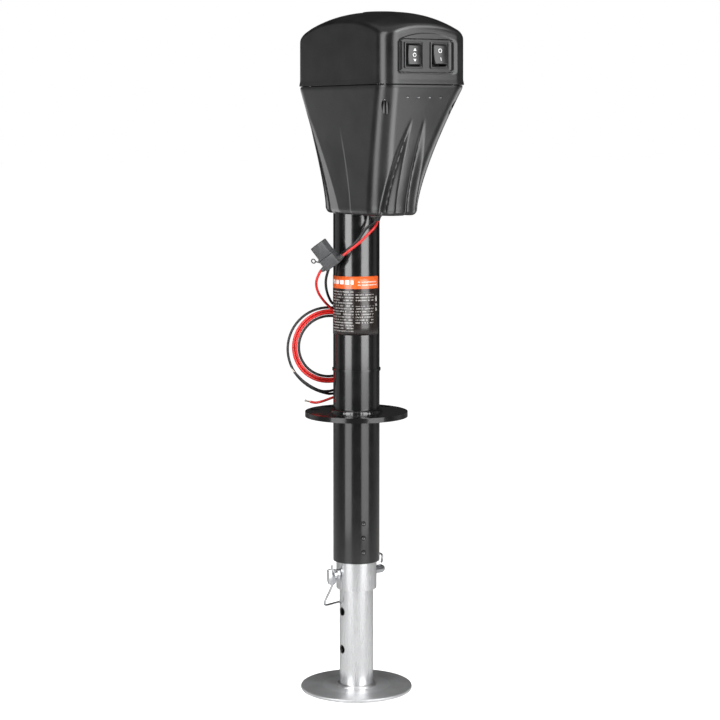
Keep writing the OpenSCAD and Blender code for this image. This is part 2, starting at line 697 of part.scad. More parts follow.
// Plug over the hand-crank hexagon.
module override_cap() {
    color("#1b1c1e") translate([0, motor_y, 0]) difference() {
        union() {
            translate([0, 0, head_top - 4.5]) cylinder(d = 48, h = 4.1);
            translate([0, 0, head_top - 0.4]) cylinder(d1 = 48, d2 = 43, h = 1.6);
            translate([0, 0, head_top - 13]) cylinder(d = 35.6, h = 8.6);
        }
        translate([0, 0, head_top - 14]) cylinder(d = 31, h = 8.6);
        translate([-3, 22.6, head_top - 6]) cube([6, 3, 10]);
    }
}

outer_tube();
mount_flange();
flange_weld();
snap_ring();
tube_label();
lower_housing();
upper_cover();
switch_panel();
switch_bodies();
led_board();
led_lenses();
housing_screws();
gear_case();
gear_case_lid();
case_screws();
gear_motor();
thrust_bearing();
cable_gland();
red_lead();
black_lead();
fuse_body();
blade_fuse();
lead_screw();
main_gear();
motor_pinion();
inner_tube();
ram_nut();
drop_leg();
foot_plate();
foot_weld();
pull_pin();
pin_bail();
jack_rocker();
light_rocker();
override_cap();
fuse_cap();
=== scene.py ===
"""Looks for the electric tongue jack: moulded head, painted tube, zinc leg, wiring and switches.

Everything is in metres in the CAD frame: +Z up the tube, switches facing -Y, foot at Z = 0.
"""
import json
from math import copysign, cos, floor, hypot, pi, radians, sin

import bmesh
import bpy
from mathutils import Euler, Matrix, Vector, noise


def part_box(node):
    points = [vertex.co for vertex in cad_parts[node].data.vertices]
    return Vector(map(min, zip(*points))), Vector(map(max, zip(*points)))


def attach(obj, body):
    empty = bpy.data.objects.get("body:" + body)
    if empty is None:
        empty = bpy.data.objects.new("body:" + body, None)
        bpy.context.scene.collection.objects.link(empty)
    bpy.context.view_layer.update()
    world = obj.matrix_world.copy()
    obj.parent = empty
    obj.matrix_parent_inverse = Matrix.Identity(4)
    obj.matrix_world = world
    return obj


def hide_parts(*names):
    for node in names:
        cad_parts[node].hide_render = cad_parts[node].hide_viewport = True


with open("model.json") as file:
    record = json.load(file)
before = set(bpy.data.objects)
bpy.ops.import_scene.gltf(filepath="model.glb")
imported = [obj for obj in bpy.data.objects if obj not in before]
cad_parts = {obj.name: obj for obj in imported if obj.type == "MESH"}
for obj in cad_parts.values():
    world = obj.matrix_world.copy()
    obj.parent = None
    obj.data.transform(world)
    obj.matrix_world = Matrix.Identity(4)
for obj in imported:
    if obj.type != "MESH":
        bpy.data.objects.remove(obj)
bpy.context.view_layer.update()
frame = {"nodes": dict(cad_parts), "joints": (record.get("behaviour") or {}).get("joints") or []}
NODES = frame["nodes"]
MM = 0.001

# ---- sizes taken from the frame

TUB_LOW, TUB_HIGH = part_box("lower_housing")
COVER_LOW, COVER_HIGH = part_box("upper_cover")
TUBE_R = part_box("outer_tube")[1].x
LEG_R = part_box("drop_leg")[1].x
FLANGE_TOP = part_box("mount_flange")[1].z
FOOT_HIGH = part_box("foot_plate")[1]
LABEL_LOW, LABEL_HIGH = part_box("tube_label")
CAP_LOW, CAP_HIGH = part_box("override_cap")
JOINT_AT = {j["name"]: Vector(j.get("pos_m", (0, 0, 0))) for j in frame["joints"]}

SEAM_Z = TUB_HIGH.z
TUB_Z = TUB_LOW.z
CAP_AXIS = (CAP_LOW + CAP_HIGH) / 2
CAP_R = (CAP_HIGH.x - CAP_LOW.x) / 2
PIVOT = JOINT_AT["jack_switch_tilt"]
SWITCH_X = abs(PIVOT.x)
SWITCH_Z = PIVOT.z
PIN_Z = JOINT_AT["bail_swing"].z

# ---- sizes of the mouldings

WALL = 3 * MM
BASE_HALF_W = 34.5 * MM      # lower housing at its bottom
BASE_FRONT = 98 * MM
BASE_REAR = 33 * MM
BASE_CORNER = 22 * MM
SEAM_CORNER = 20 * MM
CROWN_X = 15 * MM            # fall of the top from its middle to the side edges
CROWN_Y = 21 * MM            # and to the front and rear edges
COVER_STEP = 2.0 * MM        # the cover's wall stands in from the lower housing's rim
PANEL_HALF_W = 36.5 * MM     # recessed switch panel
PANEL_LOW, PANEL_TOP = 750.5 * MM, 790 * MM
PANEL_DEPTH = 3.4 * MM
BROW_DEPTH = 0.9 * MM        # shallow arched step round the panel
BROW_HALF_W = 40.5 * MM
BROW_R = 104 * MM
BROW_TOP = 797 * MM
WIRING_TURN = radians(-32)
LEAD_R = 1.6 * MM
COIL_R = 44.3                # in millimetres in the wiring plane, like the routes below
COIL_X = -33.7
COIL_Z = 415.7
FUSE_SPACE = (Matrix.Translation(Vector((-31, -32, 525.5)) * MM)
              @ Matrix.Rotation(radians(-37), 4, "Y") @ Matrix.Rotation(radians(-30), 4, "Z"))


# ---- mesh helpers

def mix(a, b, t):
    return a + (b - a) * t


def ease(t):
    """Smooth step of t held to 0..1."""
    t = max(0.0, min(1.0, t))
    return t * t * (3 - 2 * t)


def mm(points):
    """Points given in millimetres, in metres."""
    return [tuple(v * MM for v in p) for p in points]


def round_turn(count):
    """Evenly spaced angles of one full turn."""
    return [2 * pi * i / count for i in range(count)]


def add_object(name, data):
    """Puts a new object into the scene."""
    obj = bpy.data.objects.new(name, data)
    bpy.context.scene.collection.objects.link(obj)
    return obj


def from_bmesh(name, bm):
    """Makes a mesh object from bm as it stands."""
    mesh = bpy.data.meshes.new(name)
    bm.to_mesh(mesh)
    bm.free()
    return add_object(name, mesh)


def new_object(name, bm, smooth_angle=35):
    """Makes a mesh object from bm with its faces turned outward, smooth up to smooth_angle degrees."""
    bmesh.ops.recalc_face_normals(bm, faces=bm.faces)
    return shade(from_bmesh(name, bm), smooth_angle)


def shade(obj, angle=35):
    """Shades obj smooth, with edges sharper than angle degrees kept crisp."""
    obj.data.polygons.foreach_set("use_smooth", [True] * len(obj.data.polygons))
    obj.data.set_sharp_from_angle(angle=radians(angle))
    return obj


def bevel(obj, width, segments=3, angle=32):
    """Rounds obj's sharp edges."""
    mod = obj.modifiers.new("round", "BEVEL")
    mod.width = width
    mod.segments = segments
    mod.limit_method = "ANGLE"
    mod.angle_limit = radians(angle)
    mod.use_clamp_overlap = True
    mod.harden_normals = True
    return obj


def apply_modifiers(obj):
    """Bakes obj's modifiers into its mesh."""
    graph = bpy.context.evaluated_depsgraph_get()
    baked = bpy.data.meshes.new_from_object(obj.evaluated_get(graph))
    obj.modifiers.clear()
    obj.data = baked
    return obj


def loft(name, rings, wrap=False, smooth_angle=35):
    """Skins equal-length rings; wrap joins the last ring to the first, otherwise both ends are capped."""
    bm = bmesh.new()
    rows = [[bm.verts.new(p) for p in ring] for ring in rings]
    count = len(rows[0])
    pairs = list(zip(rows, rows[1:]))
    if wrap:
        pairs.append((rows[-1], rows[0]))
    for low, high in pairs:
        for i in range(count):
            j = (i + 1) % count
            bm.faces.new((low[i], low[j], high[j], high[i]))
    if not wrap:
        bm.faces.new(rows[0])
        bm.faces.new(rows[-1])
    return new_object(name, bm, smooth_angle)


def circle(radius, z, count):
    """A level ring of points round the origin."""
    return [Vector((radius * cos(a), radius * sin(a), z)) for a in round_turn(count)]


def lathe(name, profile, centre=Vector(), axis="Z", count=96):
    """Turns a closed (radius, height) profile about an axis through centre."""
    obj = loft(name, [circle(max(r, 1e-6), h, count) for r, h in profile])
    lean = {"Z": 0, "X": pi / 2, "-X": -pi / 2}[axis]
    obj.data.transform(Matrix.Translation(centre) @ Matrix.Rotation(lean, 4, "Y"))
    return obj


def rod(name, radius, low, high, centre=Vector(), axis="Z", count=32):
    """A plain cylinder from low to high along its axis; radius, low and high in millimetres."""
    return lathe(name, mm([(0, low), (radius, low), (radius, high), (0, high)]), centre, axis, count)


def smooth_path(points, steps=8):
    """A Catmull-Rom curve through points."""
    out = []
    for k in range(len(points) - 1):
        a, b, c, d = (points[max(0, min(k + i, len(points) - 1))] for i in (-1, 0, 1, 2))
        for s in range(steps):
            t = s / steps
            out.append(0.5 * (2 * b + (c - a) * t + (2 * a - 5 * b + 4 * c - d) * t * t
                              + (3 * b - a - 3 * c + d) * t * t * t))
    return out + [points[-1].copy()]


def sweep(name, path, radius, sides=14):
    """A round rod along path, its section carried without twist."""
    tangent = (path[1] - path[0]).normalized()
    normal = tangent.orthogonal().normalized()
    rings = []
    for k, p in enumerate(path):
        here = (path[min(k + 1, len(path) - 1)] - path[max(k - 1, 0)]).normalized()
        normal = (tangent.rotation_difference(here) @ normal).normalized()
        tangent = here
        side = tangent.cross(normal)
        rings.append([p + radius * (cos(a) * normal + sin(a) * side) for a in round_turn(sides)])
    return loft(name, rings, smooth_angle=50)


def block(name, size, centre=Vector(), round_by=0.6 * MM, segments=3):
    """A box in its own axes, with rounded edges unless round_by is 0."""
    bm = bmesh.new()
    bmesh.ops.create_cube(bm, size=1, matrix=Matrix.Translation(centre) @ Matrix.Diagonal((*size, 1)))
    if round_by:
        bmesh.ops.bevel(bm, geom=bm.edges[:], offset=round_by, segments=segments, profile=0.5, affect="EDGES")
    return new_object(name, bm)


def join(name, parts):
    """Merges several objects into one piece called name."""
    bm = bmesh.new()
    for part in parts:
        apply_modifiers(part)
        part.data.transform(part.matrix_world)
        bm.from_mesh(part.data)
        bpy.data.objects.remove(part)
    return from_bmesh(name, bm)


def cut(obj, cutters):
    """Takes the cutters' volume out of obj."""
    for cutter in cutters:
        mod = obj.modifiers.new("cut", "BOOLEAN")
        mod.operation = "DIFFERENCE"
        mod.solver = "EXACT"
        mod.object = cutter
    apply_modifiers(obj)
    for cutter in cutters:
        bpy.data.objects.remove(cutter)
    return obj


def place(obj, body, finish, replaces=()):
    """Gives a piece its material, its CAD body and the CAD nodes it stands for."""
    obj.data.materials.clear()
    obj.data.materials.append(finish)
    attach(obj, body)
    if replaces:
        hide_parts(*replaces)
    return obj


# ---- materials

class Shader:
    """A small builder for principled materials."""

    def __init__(self, name):
        self.mat = bpy.data.materials.new(name)
        self.mat.use_nodes = True
        self.tree = self.mat.node_tree
        self.bsdf = self.tree.nodes["Principled BSDF"]
        self.coords = self.node("ShaderNodeTexCoord").outputs["Object"]

    def node(self, kind, **settings):
        made = self.tree.nodes.new(kind)
        for key, value in settings.items():
            setattr(made, key, value)
        return made

    def link(self, source, target):
        self.tree.links.new(source, target)

    def noise(self, scale, detail=4, stretch=(1, 1, 1)):
        """Noise at scale cycles per metre, stretched along the axes."""
        mapping = self.node("ShaderNodeMapping")
        mapping.inputs["Scale"].default_value = stretch
        self.link(self.coords, mapping.inputs["Vector"])
        tex = self.node("ShaderNodeTexNoise")
        tex.inputs["Scale"].default_value = scale
        tex.inputs["Detail"].default_value = detail
        tex.inputs["Roughness"].default_value = 0.55
        self.link(mapping.outputs["Vector"], tex.inputs["Vector"])
        return tex.outputs["Fac"]

    def ramp(self, source, low, high, at=(0.35, 0.65)):
        """Maps source from the span at to the span low..high."""
        node = self.node("ShaderNodeMapRange")
        node.inputs["From Min"].default_value, node.inputs["From Max"].default_value = at
        node.inputs["To Min"].default_value, node.inputs["To Max"].default_value = low, high
        self.link(source, node.inputs["Value"])
        return node.outputs["Result"]

    def mix(self, factor, a, b):
        """Mixes two colours, each an RGB tuple or a socket."""
        node = self.node("ShaderNodeMix", data_type="RGBA")
        self.put(factor, node.inputs[0])
        self.put(a, node.inputs[6])
        self.put(b, node.inputs[7])
        return node.outputs[2]

    def put(self, value, socket):
        """Feeds socket with another socket, a number or an RGB tuple."""
        if isinstance(value, bpy.types.NodeSocket):
            self.link(value, socket)
        elif isinstance(value, (int, float)):
            socket.default_value = value
        else:
            socket.default_value = (*value, 1)

    def math(self, operation, a, b=0.0):
        node = self.node("ShaderNodeMath", operation=operation)
        self.put(a, node.inputs[0])
        self.put(b, node.inputs[1])
        return node.outputs[0]

    def times(self, a, b):
        return self.math("MULTIPLY", a, b)

    def edges(self, low=0.52, high=0.62):
        """Near 1 on convex edges, 0 elsewhere."""
        return self.ramp(self.node("ShaderNodeNewGeometry").outputs["Pointiness"], 0, 1, at=(low, high))

    def bump(self, heights):
        """Chains bumps given as (height socket, depth in metres, strength)."""
        last = None
        for height, distance, strength in heights:
            node = self.node("ShaderNodeBump")
            node.inputs["Distance"].default_value = distance
            node.inputs["Strength"].default_value = strength
            self.link(height, node.inputs["Height"])
            if last is not None:
                self.link(last, node.inputs["Normal"])
            last = node.outputs["Normal"]
        self.link(last, self.bsdf.inputs["Normal"])

    def set(self, **inputs):
        for key, value in inputs.items():
            self.put(value, self.bsdf.inputs[key.replace("_", " ")])


def plastic(name, colour, rough, grain=2600, grain_depth=0.02, edge_highlight=None):
    """Moulded plastic: fine grain, slow sheen variation and, if an edge colour is given, convex edges painted
    lighter in it as a painted highlight.
    """
    s = Shader(name)
    slow = s.noise(35, detail=3)
    fine = s.noise(grain, detail=2)
    lighter = tuple(min(1, c * 1.5 + 0.002) for c in colour)
    base = s.mix(s.ramp(slow, 0, 1), colour, lighter)
    # painted highlight: convex edges are lightened towards the given edge colour
    if edge_highlight:
        base = s.mix(s.times(s.edges(), 0.35), base, edge_highlight)
    s.set(Base_Color=base, Roughness=s.ramp(slow, rough * 0.96, rough * 1.04))
    s.bump([(fine, grain_depth * MM, 0.5), (s.noise(160, detail=2), 0.02 * MM, 0.06)])
    return s.mat


def powder_coat(name):
    """Semi-gloss black powder coat with orange peel, dust specks and convex edges painted lighter as a
    painted highlight.
    """
    s = Shader(name)
    peel = s.noise(420, detail=2)
    specks = s.ramp(s.noise(1900, detail=1), 0, 1, at=(0.74, 0.8))
    base = s.mix(s.ramp(s.noise(24), 0, 1), (0.0022, 0.0022, 0.0024), (0.0036, 0.0036, 0.0038))
    # painted highlight: convex edges lightened
    base = s.mix(s.times(s.edges(0.6, 0.72), 0.3), base, (0.02, 0.02, 0.021))
    base = s.mix(s.times(specks, 0.05), base, (0.2, 0.2, 0.2))
    s.set(Base_Color=base, Roughness=s.ramp(s.noise(60), 0.19, 0.25), Specular_IOR_Level=0.6)
    s.set(Coat_Weight=0.7, Coat_Roughness=0.09)
    s.bump([(peel, 0.02 * MM, 0.12)])
    return s.mat


def metal(name, colour, rough, brush=(1, 1, 1), brush_scale=900, depth=0.02, mottling=0.12):
    """Bare or plated metal. brush is the stretch of its fine marks; mottling its cloudy variation."""
    s = Shader(name)
    cloud = s.noise(55, detail=5)
    dark = tuple(c * (1 - mottling) for c in colour)
    base = s.mix(s.ramp(cloud, 0, 1), dark, colour)
    marks = s.noise(brush_scale, detail=3, stretch=brush)
    base = s.mix(s.ramp(marks, 0, 0.1), base, tuple(c * 0.75 for c in colour))
    # painted highlight: convex edges painted lighter than the metal
    base = s.mix(s.times(s.edges(), 0.4), base, tuple(min(1, c * 1.25) for c in colour))
    s.set(Base_Color=base, Metallic=1.0, Roughness=s.ramp(marks, rough * 0.8, rough * 1.25))
    s.bump([(marks, depth * MM, 0.35), (s.noise(240, detail=3), 0.02 * MM, 0.15)])
    return s.mat


def print_film(name):
    """Label film: an orange band over a black field, with plain rows of pale dashes in two columns."""
    s = Shader(name)
    split = s.node("ShaderNodeSeparateXYZ")
    s.link(s.node("ShaderNodeTexCoord").outputs["UV"], split.inputs[0])
    u, v = split.outputs[0], split.outputs[1]

    def span(socket, low, high):
        """1 where socket lies between low and high."""
        off_middle = s.math("ABSOLUTE", s.math("SUBTRACT", socket, (low + high) / 2))
        return s.math("LESS_THAN", off_middle, (high - low) / 2)

    def either(a, b):
        return s.math("MAXIMUM", a, b)

    rows, band_low = 21, 0.79
    at_row = s.times(v, rows)
    line = span(s.math("FRACT", at_row), 0.3, 0.72)
    seed = s.node("ShaderNodeCombineXYZ")
    s.link(s.math("FLOOR", s.times(u, 95)), seed.inputs[0])
    s.link(s.math("FLOOR", at_row), seed.inputs[1])
    dashes = s.node("ShaderNodeTexWhiteNoise", noise_dimensions="2D")
    s.link(seed.outputs[0], dashes.inputs["Vector"])
    dash = s.math("GREATER_THAN", dashes.outputs["Value"], 0.27)
    left = s.times(span(u, 0.13, 0.57), span(v, 0.04, 0.755))
    right = s.times(span(u, 0.6, 0.88), either(span(v, 0.58, 0.73), span(v, 0.2, 0.5)))
    text = s.times(s.times(dash, line), either(left, right))
    stack = either(span(v, 0.57, 0.66), either(span(v, 0.49, 0.53), span(v, 0.41, 0.46)))
    marks = s.times(span(u, 0.92, 0.955), stack)
    pale = either(s.times(text, 0.42), s.times(marks, 0.6))
    field = s.mix(pale, (0.012, 0.0085, 0.0075), (0.62, 0.6, 0.58))
    cells = span(s.math("FRACT", s.times(u, 11.5)), 0.1, 0.84)
    blocks = s.times(s.times(span(u, 0.15, 0.57), cells), span(v, 0.865, 0.935))
    lines = s.times(s.times(span(u, 0.63, 0.95), dash), either(span(v, 0.845, 0.865), span(v, 0.895, 0.915)))
    band = s.mix(either(s.times(blocks, 0.9), s.times(lines, 0.5)), (0.74, 0.115, 0.02), (0.9, 0.87, 0.84))
    s.set(Base_Color=s.mix(s.math("GREATER_THAN", v, band_low), field, band))
    s.set(Roughness=s.ramp(s.noise(120), 0.24, 0.32), Coat_Weight=0.3, Coat_Roughness=0.12)
    s.bump([(s.noise(300, detail=2), 0.02 * MM, 0.1)])
    return s.mat


def lens_glass(name):
    """Smoked lens over a faintly lit emitter."""
    s = Shader(name)
    smoke = s.mix(s.ramp(s.noise(900), 0, 1), (0.03, 0.032, 0.034), (0.06, 0.062, 0.066))
    s.set(Base_Color=smoke, Roughness=0.1)
    s.set(Emission_Color=(0.85, 0.92, 1.0), Emission_Strength=0.004, Coat_Weight=0.6)
    s.bump([(s.noise(2200), 0.02 * MM, 0.2)])
    return s.mat


def circuit_board(name):
    """Green solder mask with copper tracks showing through."""
    s = Shader(name)
    tracks = s.ramp(s.noise(500, detail=0, stretch=(1, 1, 0.25)), 0, 1, at=(0.5, 0.52))
    s.set(Base_Color=s.mix(tracks, (0.01, 0.12, 0.04), (0.02, 0.2, 0.07)), Roughness=0.35)
    s.bump([(tracks, 0.04 * MM, 0.3)])
    return s.mat


def plain_white(name):
    """Pale studio paper that runs white to the horizon without lighting the object from below."""
    s = Shader(name)
    glow = s.times(s.node("ShaderNodeLightPath").outputs["Is Camera Ray"], 0.98)
    s.set(Base_Color=s.mix(s.ramp(s.noise(3), 0, 1), (0.7, 0.7, 0.7), (0.73, 0.73, 0.73)), Roughness=0.8)
    s.set(Specular_IOR_Level=0.0, Emission_Color=(1, 1, 1), Emission_Strength=glow)
    return s.mat


HEAD = plastic("head_plastic", (0.0042, 0.0042, 0.0045), 0.29, edge_highlight=(0.016, 0.016, 0.0165))
PANEL = plastic("panel_plastic", (0.007, 0.007, 0.0075), 0.42, grain=1900, grain_depth=0.03)
BEZEL = plastic("bezel_plastic", (0.006, 0.006, 0.0064), 0.33, edge_highlight=(0.04, 0.04, 0.04))
ROCKER = plastic("rocker_plastic", (0.007, 0.007, 0.0073), 0.3, edge_highlight=(0.05, 0.05, 0.05))
RUBBER = plastic("cap_rubber", (0.009, 0.009, 0.0094), 0.5, grain=1500, grain_depth=0.03)
WHITE_PRINT = plastic("white_print", (0.62, 0.62, 0.62), 0.5, grain=3500)
RED_PVC = plastic("red_pvc", (0.5, 0.016, 0.014), 0.3, grain=900, grain_depth=0.03, edge_highlight=(0.75, 0.06, 0.05))
BLACK_PVC = plastic("black_pvc", (0.009, 0.009, 0.0095), 0.3, grain=900, grain_depth=0.03)
HOLDER = plastic("holder_plastic", (0.05, 0.051, 0.053), 0.4, grain=1500, grain_depth=0.04,
                 edge_highlight=(0.09, 0.09, 0.09))
FUSE_BLUE = plastic("fuse_plastic", (0.02, 0.16, 0.55), 0.25)
POWDER = powder_coat("black_powder")
LABEL = print_film("label_film")
ZINC_TUBE = metal("zinc_tube", (0.76, 0.765, 0.775), 0.24, brush=(1, 1, 0.03), mottling=0.05)
ZINC_PLATE = metal("zinc_plate", (0.74, 0.745, 0.755), 0.5, brush_scale=500, depth=0.03)
ZINC_WELD = metal("zinc_weld", (0.7, 0.7, 0.71), 0.4, brush_scale=500, depth=0.05, mottling=0.35)
WIRE = metal("spring_wire", (0.66, 0.67, 0.69), 0.22, brush_scale=700)
CHROME = metal("bright_screw", (0.75, 0.76, 0.78), 0.14, brush_scale=1500)
CASTING = metal("cast_case", (0.4, 0.405, 0.41), 0.46, brush_scale=350, depth=0.1, mottling=0.25)
DARK_SCREW = metal("oxide_screw", (0.2, 0.2, 0.21), 0.34, brush_scale=900)
MOTOR = metal("motor_can", (0.36, 0.365, 0.37), 0.32, brush=(1, 1, 0.05))
MACHINED = metal("machined_steel", (0.48, 0.485, 0.49), 0.26, brush=(0.1, 0.1, 1), brush_scale=1600)
BRONZE = metal("bronze_nut", (0.55, 0.36, 0.16), 0.3, brush=(0.1, 0.1, 1), brush_scale=1400)
COPPER = metal("tinned_strand", (0.66, 0.6, 0.54), 0.35, brush_scale=1500)
LENS = lens_glass("lens")
BOARD = circuit_board("board")


# ---- head mouldings

RING = 360                   # points round each moulding


def outline(half_w, front, rear, corner, z):
    """A rounded rectangle at height z with points spread evenly along its edge, starting mid-front."""
    cy = (rear - front) / 2
    half_l = (rear + front) / 2
    flat_w, flat_l, arc = half_w - corner, half_l - corner, corner * pi / 2
    legs = [("line", flat_w, (0, -half_l), (1, 0)), ("arc", arc, (flat_w, -flat_l), -90),
            ("line", 2 * flat_l, (half_w, -flat_l), (0, 1)), ("arc", arc, (flat_w, flat_l), 0),
            ("line", 2 * flat_w, (flat_w, half_l), (-1, 0)), ("arc", arc, (-flat_w, flat_l), 90),
            ("line", 2 * flat_l, (-half_w, flat_l), (0, -1)), ("arc", arc, (-flat_w, -flat_l), 180),
            ("line", flat_w, (-flat_w, -half_l), (1, 0))]
    total = 4 * (flat_w + flat_l + arc)
    points = []
    for i in range(RING):
        d = total * i / RING
        for kind, length, at, way in legs:
            if d <= length:
                break
            d -= length
        if kind == "line":
            x, y = at[0] + way[0] * d, at[1] + way[1] * d
        else:
            a = radians(way + 90 * d / arc)
            x, y = at[0] + corner * cos(a), at[1] + corner * sin(a)
        points.append(Vector((x, cy + y, z)))
    return points


def flare(z):
    """Share of the way from the bottom outline to the seam outline."""
    return max(0.0, min(1.0, (z - TUB_Z - 9 * MM) / (SEAM_Z - TUB_Z - 9 * MM))) ** 1.35


def groove(x, valley, inner, outer):
    """0 at and inside inner, 1 at valley, 0 at outer: a rounded V across |x|."""
    x = abs(x)
    if x <= inner or x >= outer:
        return 0.0
    if x < valley:
        return ease((x - inner) / max(valley - inner, 1e-6))
    share = (outer - x) / max(outer - valley, 1e-6)
    return mix(share, ease(share), 0.55)


def scooped(p, half_w, front):
    """Moves an outline point of the lower housing into the scoops and the faint side crease."""
    scoop_top = SEAM_Z - 40 * MM
    down = max(0.0, min(1.0, (scoop_top - p.z) / (scoop_top - TUB_Z)))
    if p.y < -front + 8 * MM and down > 0:
        ridge = mix(7 * MM, 6 * MM, down)
        valley = mix(9 * MM, 16 * MM, down)
        outer = mix(10 * MM, half_w - 6 * MM, down)
        p.y += 9 * MM * down ** 1.1 * groove(p.x, valley, ridge, outer)
        p.y -= 1.4 * MM * ease(down * 1.4) * max(0.0, 1 - (p.x / (2 * ridge)) ** 2)
    if abs(p.x) > half_w * 0.82 and down > 0:
        inner = mix(23 * MM, -16 * MM, down)
        valley = mix(25 * MM, 19 * MM, down)
        outer = mix(29 * MM, 26 * MM, down)
        dent = (p.y - inner) / (valley - inner) if p.y < valley else ease((outer - p.y) / (outer - valley))
        p.x -= copysign(7 * MM * down * max(0.0, dent), p.x)
    run = ease((scoop_top - 2 * MM - p.z) / (40 * MM))
    if abs(p.x) > half_w * 0.82 and run > 0:
        behind = p.y + 42 * MM
        step = ease(behind / (2.2 * MM)) * (1 - ease(behind / (44 * MM)))
        p.x -= copysign(0.35 * MM * run * step, p.x)
    return p


def tub_ring(z, inset=0.0, scoop=True, corner_fill=0.0):
    """Lower housing outline at z, drawn in by inset, with corner_fill added to the corners' radius."""
    t = flare(z)
    half_w = mix(BASE_HALF_W, (TUB_HIGH.x - TUB_LOW.x) / 2, t) - inset
    front = mix(BASE_FRONT, -TUB_LOW.y, t) - inset
    rear = mix(BASE_REAR, TUB_HIGH.y, t) - inset
    corner = max(mix(BASE_CORNER, SEAM_CORNER, t) - inset, 2 * MM) + corner_fill
    ring = outline(half_w, front, rear, corner, z)
    return [scooped(p, half_w, front) for p in ring] if scoop else ring


def hole_ring(ring, centre, radius, z):
    """Ring points pulled onto a circle, each kept on its own bearing from the centre."""
    middle = Vector((centre.x, centre.y, z))
    return [middle + radius * Vector((p.x - middle.x, p.y - middle.y, 0)).normalized() for p in ring]


def between(low, high, share):
    return [a.lerp(b, share) for a, b in zip(low, high)]


def tub_outside(top, shoulder, edge):
    """Rings from the seam round the shoulder, down the flared wall and round the bottom edge."""
    rings = [tub_ring(top, 3.4 * MM, scoop=False)]
    for k in range(8):
        a = radians(90 * k / 7)
        rings.append(tub_ring(top - shoulder * (1 - cos(a)), 2.6 * MM * (1 - sin(a)), scoop=False))
    start, rows = top - shoulder, 76
    rise = start - TUB_Z - edge
    rings += [tub_ring(start - rise * k / rows) for k in range(1, rows + 1)]
    for k in range(1, 7):
        a = radians(15 * k)
        rings.append(tub_ring(TUB_Z + edge * (1 - sin(a)), edge * (1 - cos(a)) * 0.85))
    return rings


def tub_bottom(edge):
    """Rings across the bottom to the hole for the tube and back over its inside."""
    bottom, axis, gap = tub_ring(TUB_Z, edge * 0.85), Vector(), TUBE_R + 0.5 * MM
    hole = hole_ring(bottom, axis, gap, TUB_Z)
    return [between(bottom, hole, share) for share in (0.35, 0.7, 0.92)] + [
        hole, hole_ring(bottom, axis, gap, TUB_Z + WALL), tub_ring(TUB_Z + WALL, WALL + 5 * MM)]


def tub_inside(top, shoulder):
    """Rings up the inside of the wall, thick at the corners for the screws."""
    rings = []
    for k in range(41):
        z = mix(TUB_Z + 12 * MM, top, k / 40)
        in_lip = z > top - shoulder
        rings.append(tub_ring(z, WALL + 1.6 * MM * in_lip, not in_lip, corner_fill=20 * MM * flare(z)))
    return rings


def lower_housing():
    """The flared lower moulding with its front and side scoops, screw pockets and lamp holes."""
    top, shoulder, edge = SEAM_Z - 0.2 * MM, 6 * MM, 8 * MM
    rings = tub_outside(top, shoulder, edge) + tub_bottom(edge) + tub_inside(top, shoulder)
    body = loft("lower_housing_skin", rings, wrap=True, smooth_angle=28)
    low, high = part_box("cable_gland")
    gland = Vector(((low.x + high.x) / 2, (low.y + high.y) / 2, TUB_Z))
    cut(body, [screw_cutter(c) for c in screw_axes()] + [lamp_cutter(c) for c in lamp_axes()]
        + [rod("gland_hole", 5.2, -5, 9, gland, count=40)])
    return shade(body, 28)


def screw_axes():
    """The four housing screws, each as the top of its pocket."""
    (left, front, _), (right, rear, _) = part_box("housing_screws")
    r = 4 * MM
    return [Vector((x, y, SEAM_Z - 14 * MM)) for x in (left + r, right - r) for y in (front + r, rear - r)]


def lamp_axes():
    """The four work lights, each as the middle of its front."""
    low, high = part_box("led_lenses")
    r = (high.z - low.z) / 2
    return [Vector((mix(low.x + r, high.x - r, k / 3), low.y, low.z + r)) for k in range(4)]


def screw_cutter(top):
    """A round-ended slot running down out of the housing's corner."""
    r, length = 4.7, 66
    dome = [(r * cos(radians(a)), -r + r * sin(radians(a))) for a in range(0, 90, 15)]
    return lathe("pocket", mm([(0, -length), (r, -length)] + dome + [(0, 0)]), top, count=40)


def lamp_cutter(front):
    """A hole for one lens, from front to back through the wall."""
    hole = rod("lamp_hole", 1.6, -12, 12)
    middle = Matrix.Translation(front + Vector((0, 4 * MM, 0)))
    hole.data.transform(middle @ Matrix.Rotation(pi / 2, 4, "X"))
    return hole


COVER_HALF_W = (COVER_HIGH.x - COVER_LOW.x) / 2
COVER_FRONT = -COVER_LOW.y
COVER_REAR = COVER_HIGH.y
COVER_MID_Y = (COVER_REAR - COVER_FRONT) / 2
COVER_HALF_L = (COVER_REAR + COVER_FRONT) / 2
DOME_TOP = 826 * MM


def crown(x, y):
    """Height of the pillow-shaped top."""
    across, along = abs(x) / COVER_HALF_W, abs(y - COVER_MID_Y) / COVER_HALF_L
    return DOME_TOP - CROWN_X * across ** 2.5 - CROWN_Y * along ** 2.5


def cover_outline(inset, z=0.0):
    corner = 21 * MM - min(inset, 9 * MM)
    return outline(COVER_HALF_W - inset, COVER_FRONT - inset, COVER_REAR - inset, corner, z)


def crowned(ring, drop=0.0):
    """The ring's points set on the top surface, or drop below it."""
    return [Vector((p.x, p.y, crown(p.x, p.y) - drop)) for p in ring]


def inside_corner(one, two, corner):
    """Distance inside two edges meeting at a rounded corner."""
    if one < corner and two < corner:
        return corner - hypot(corner - one, corner - two)
    return min(one, two)


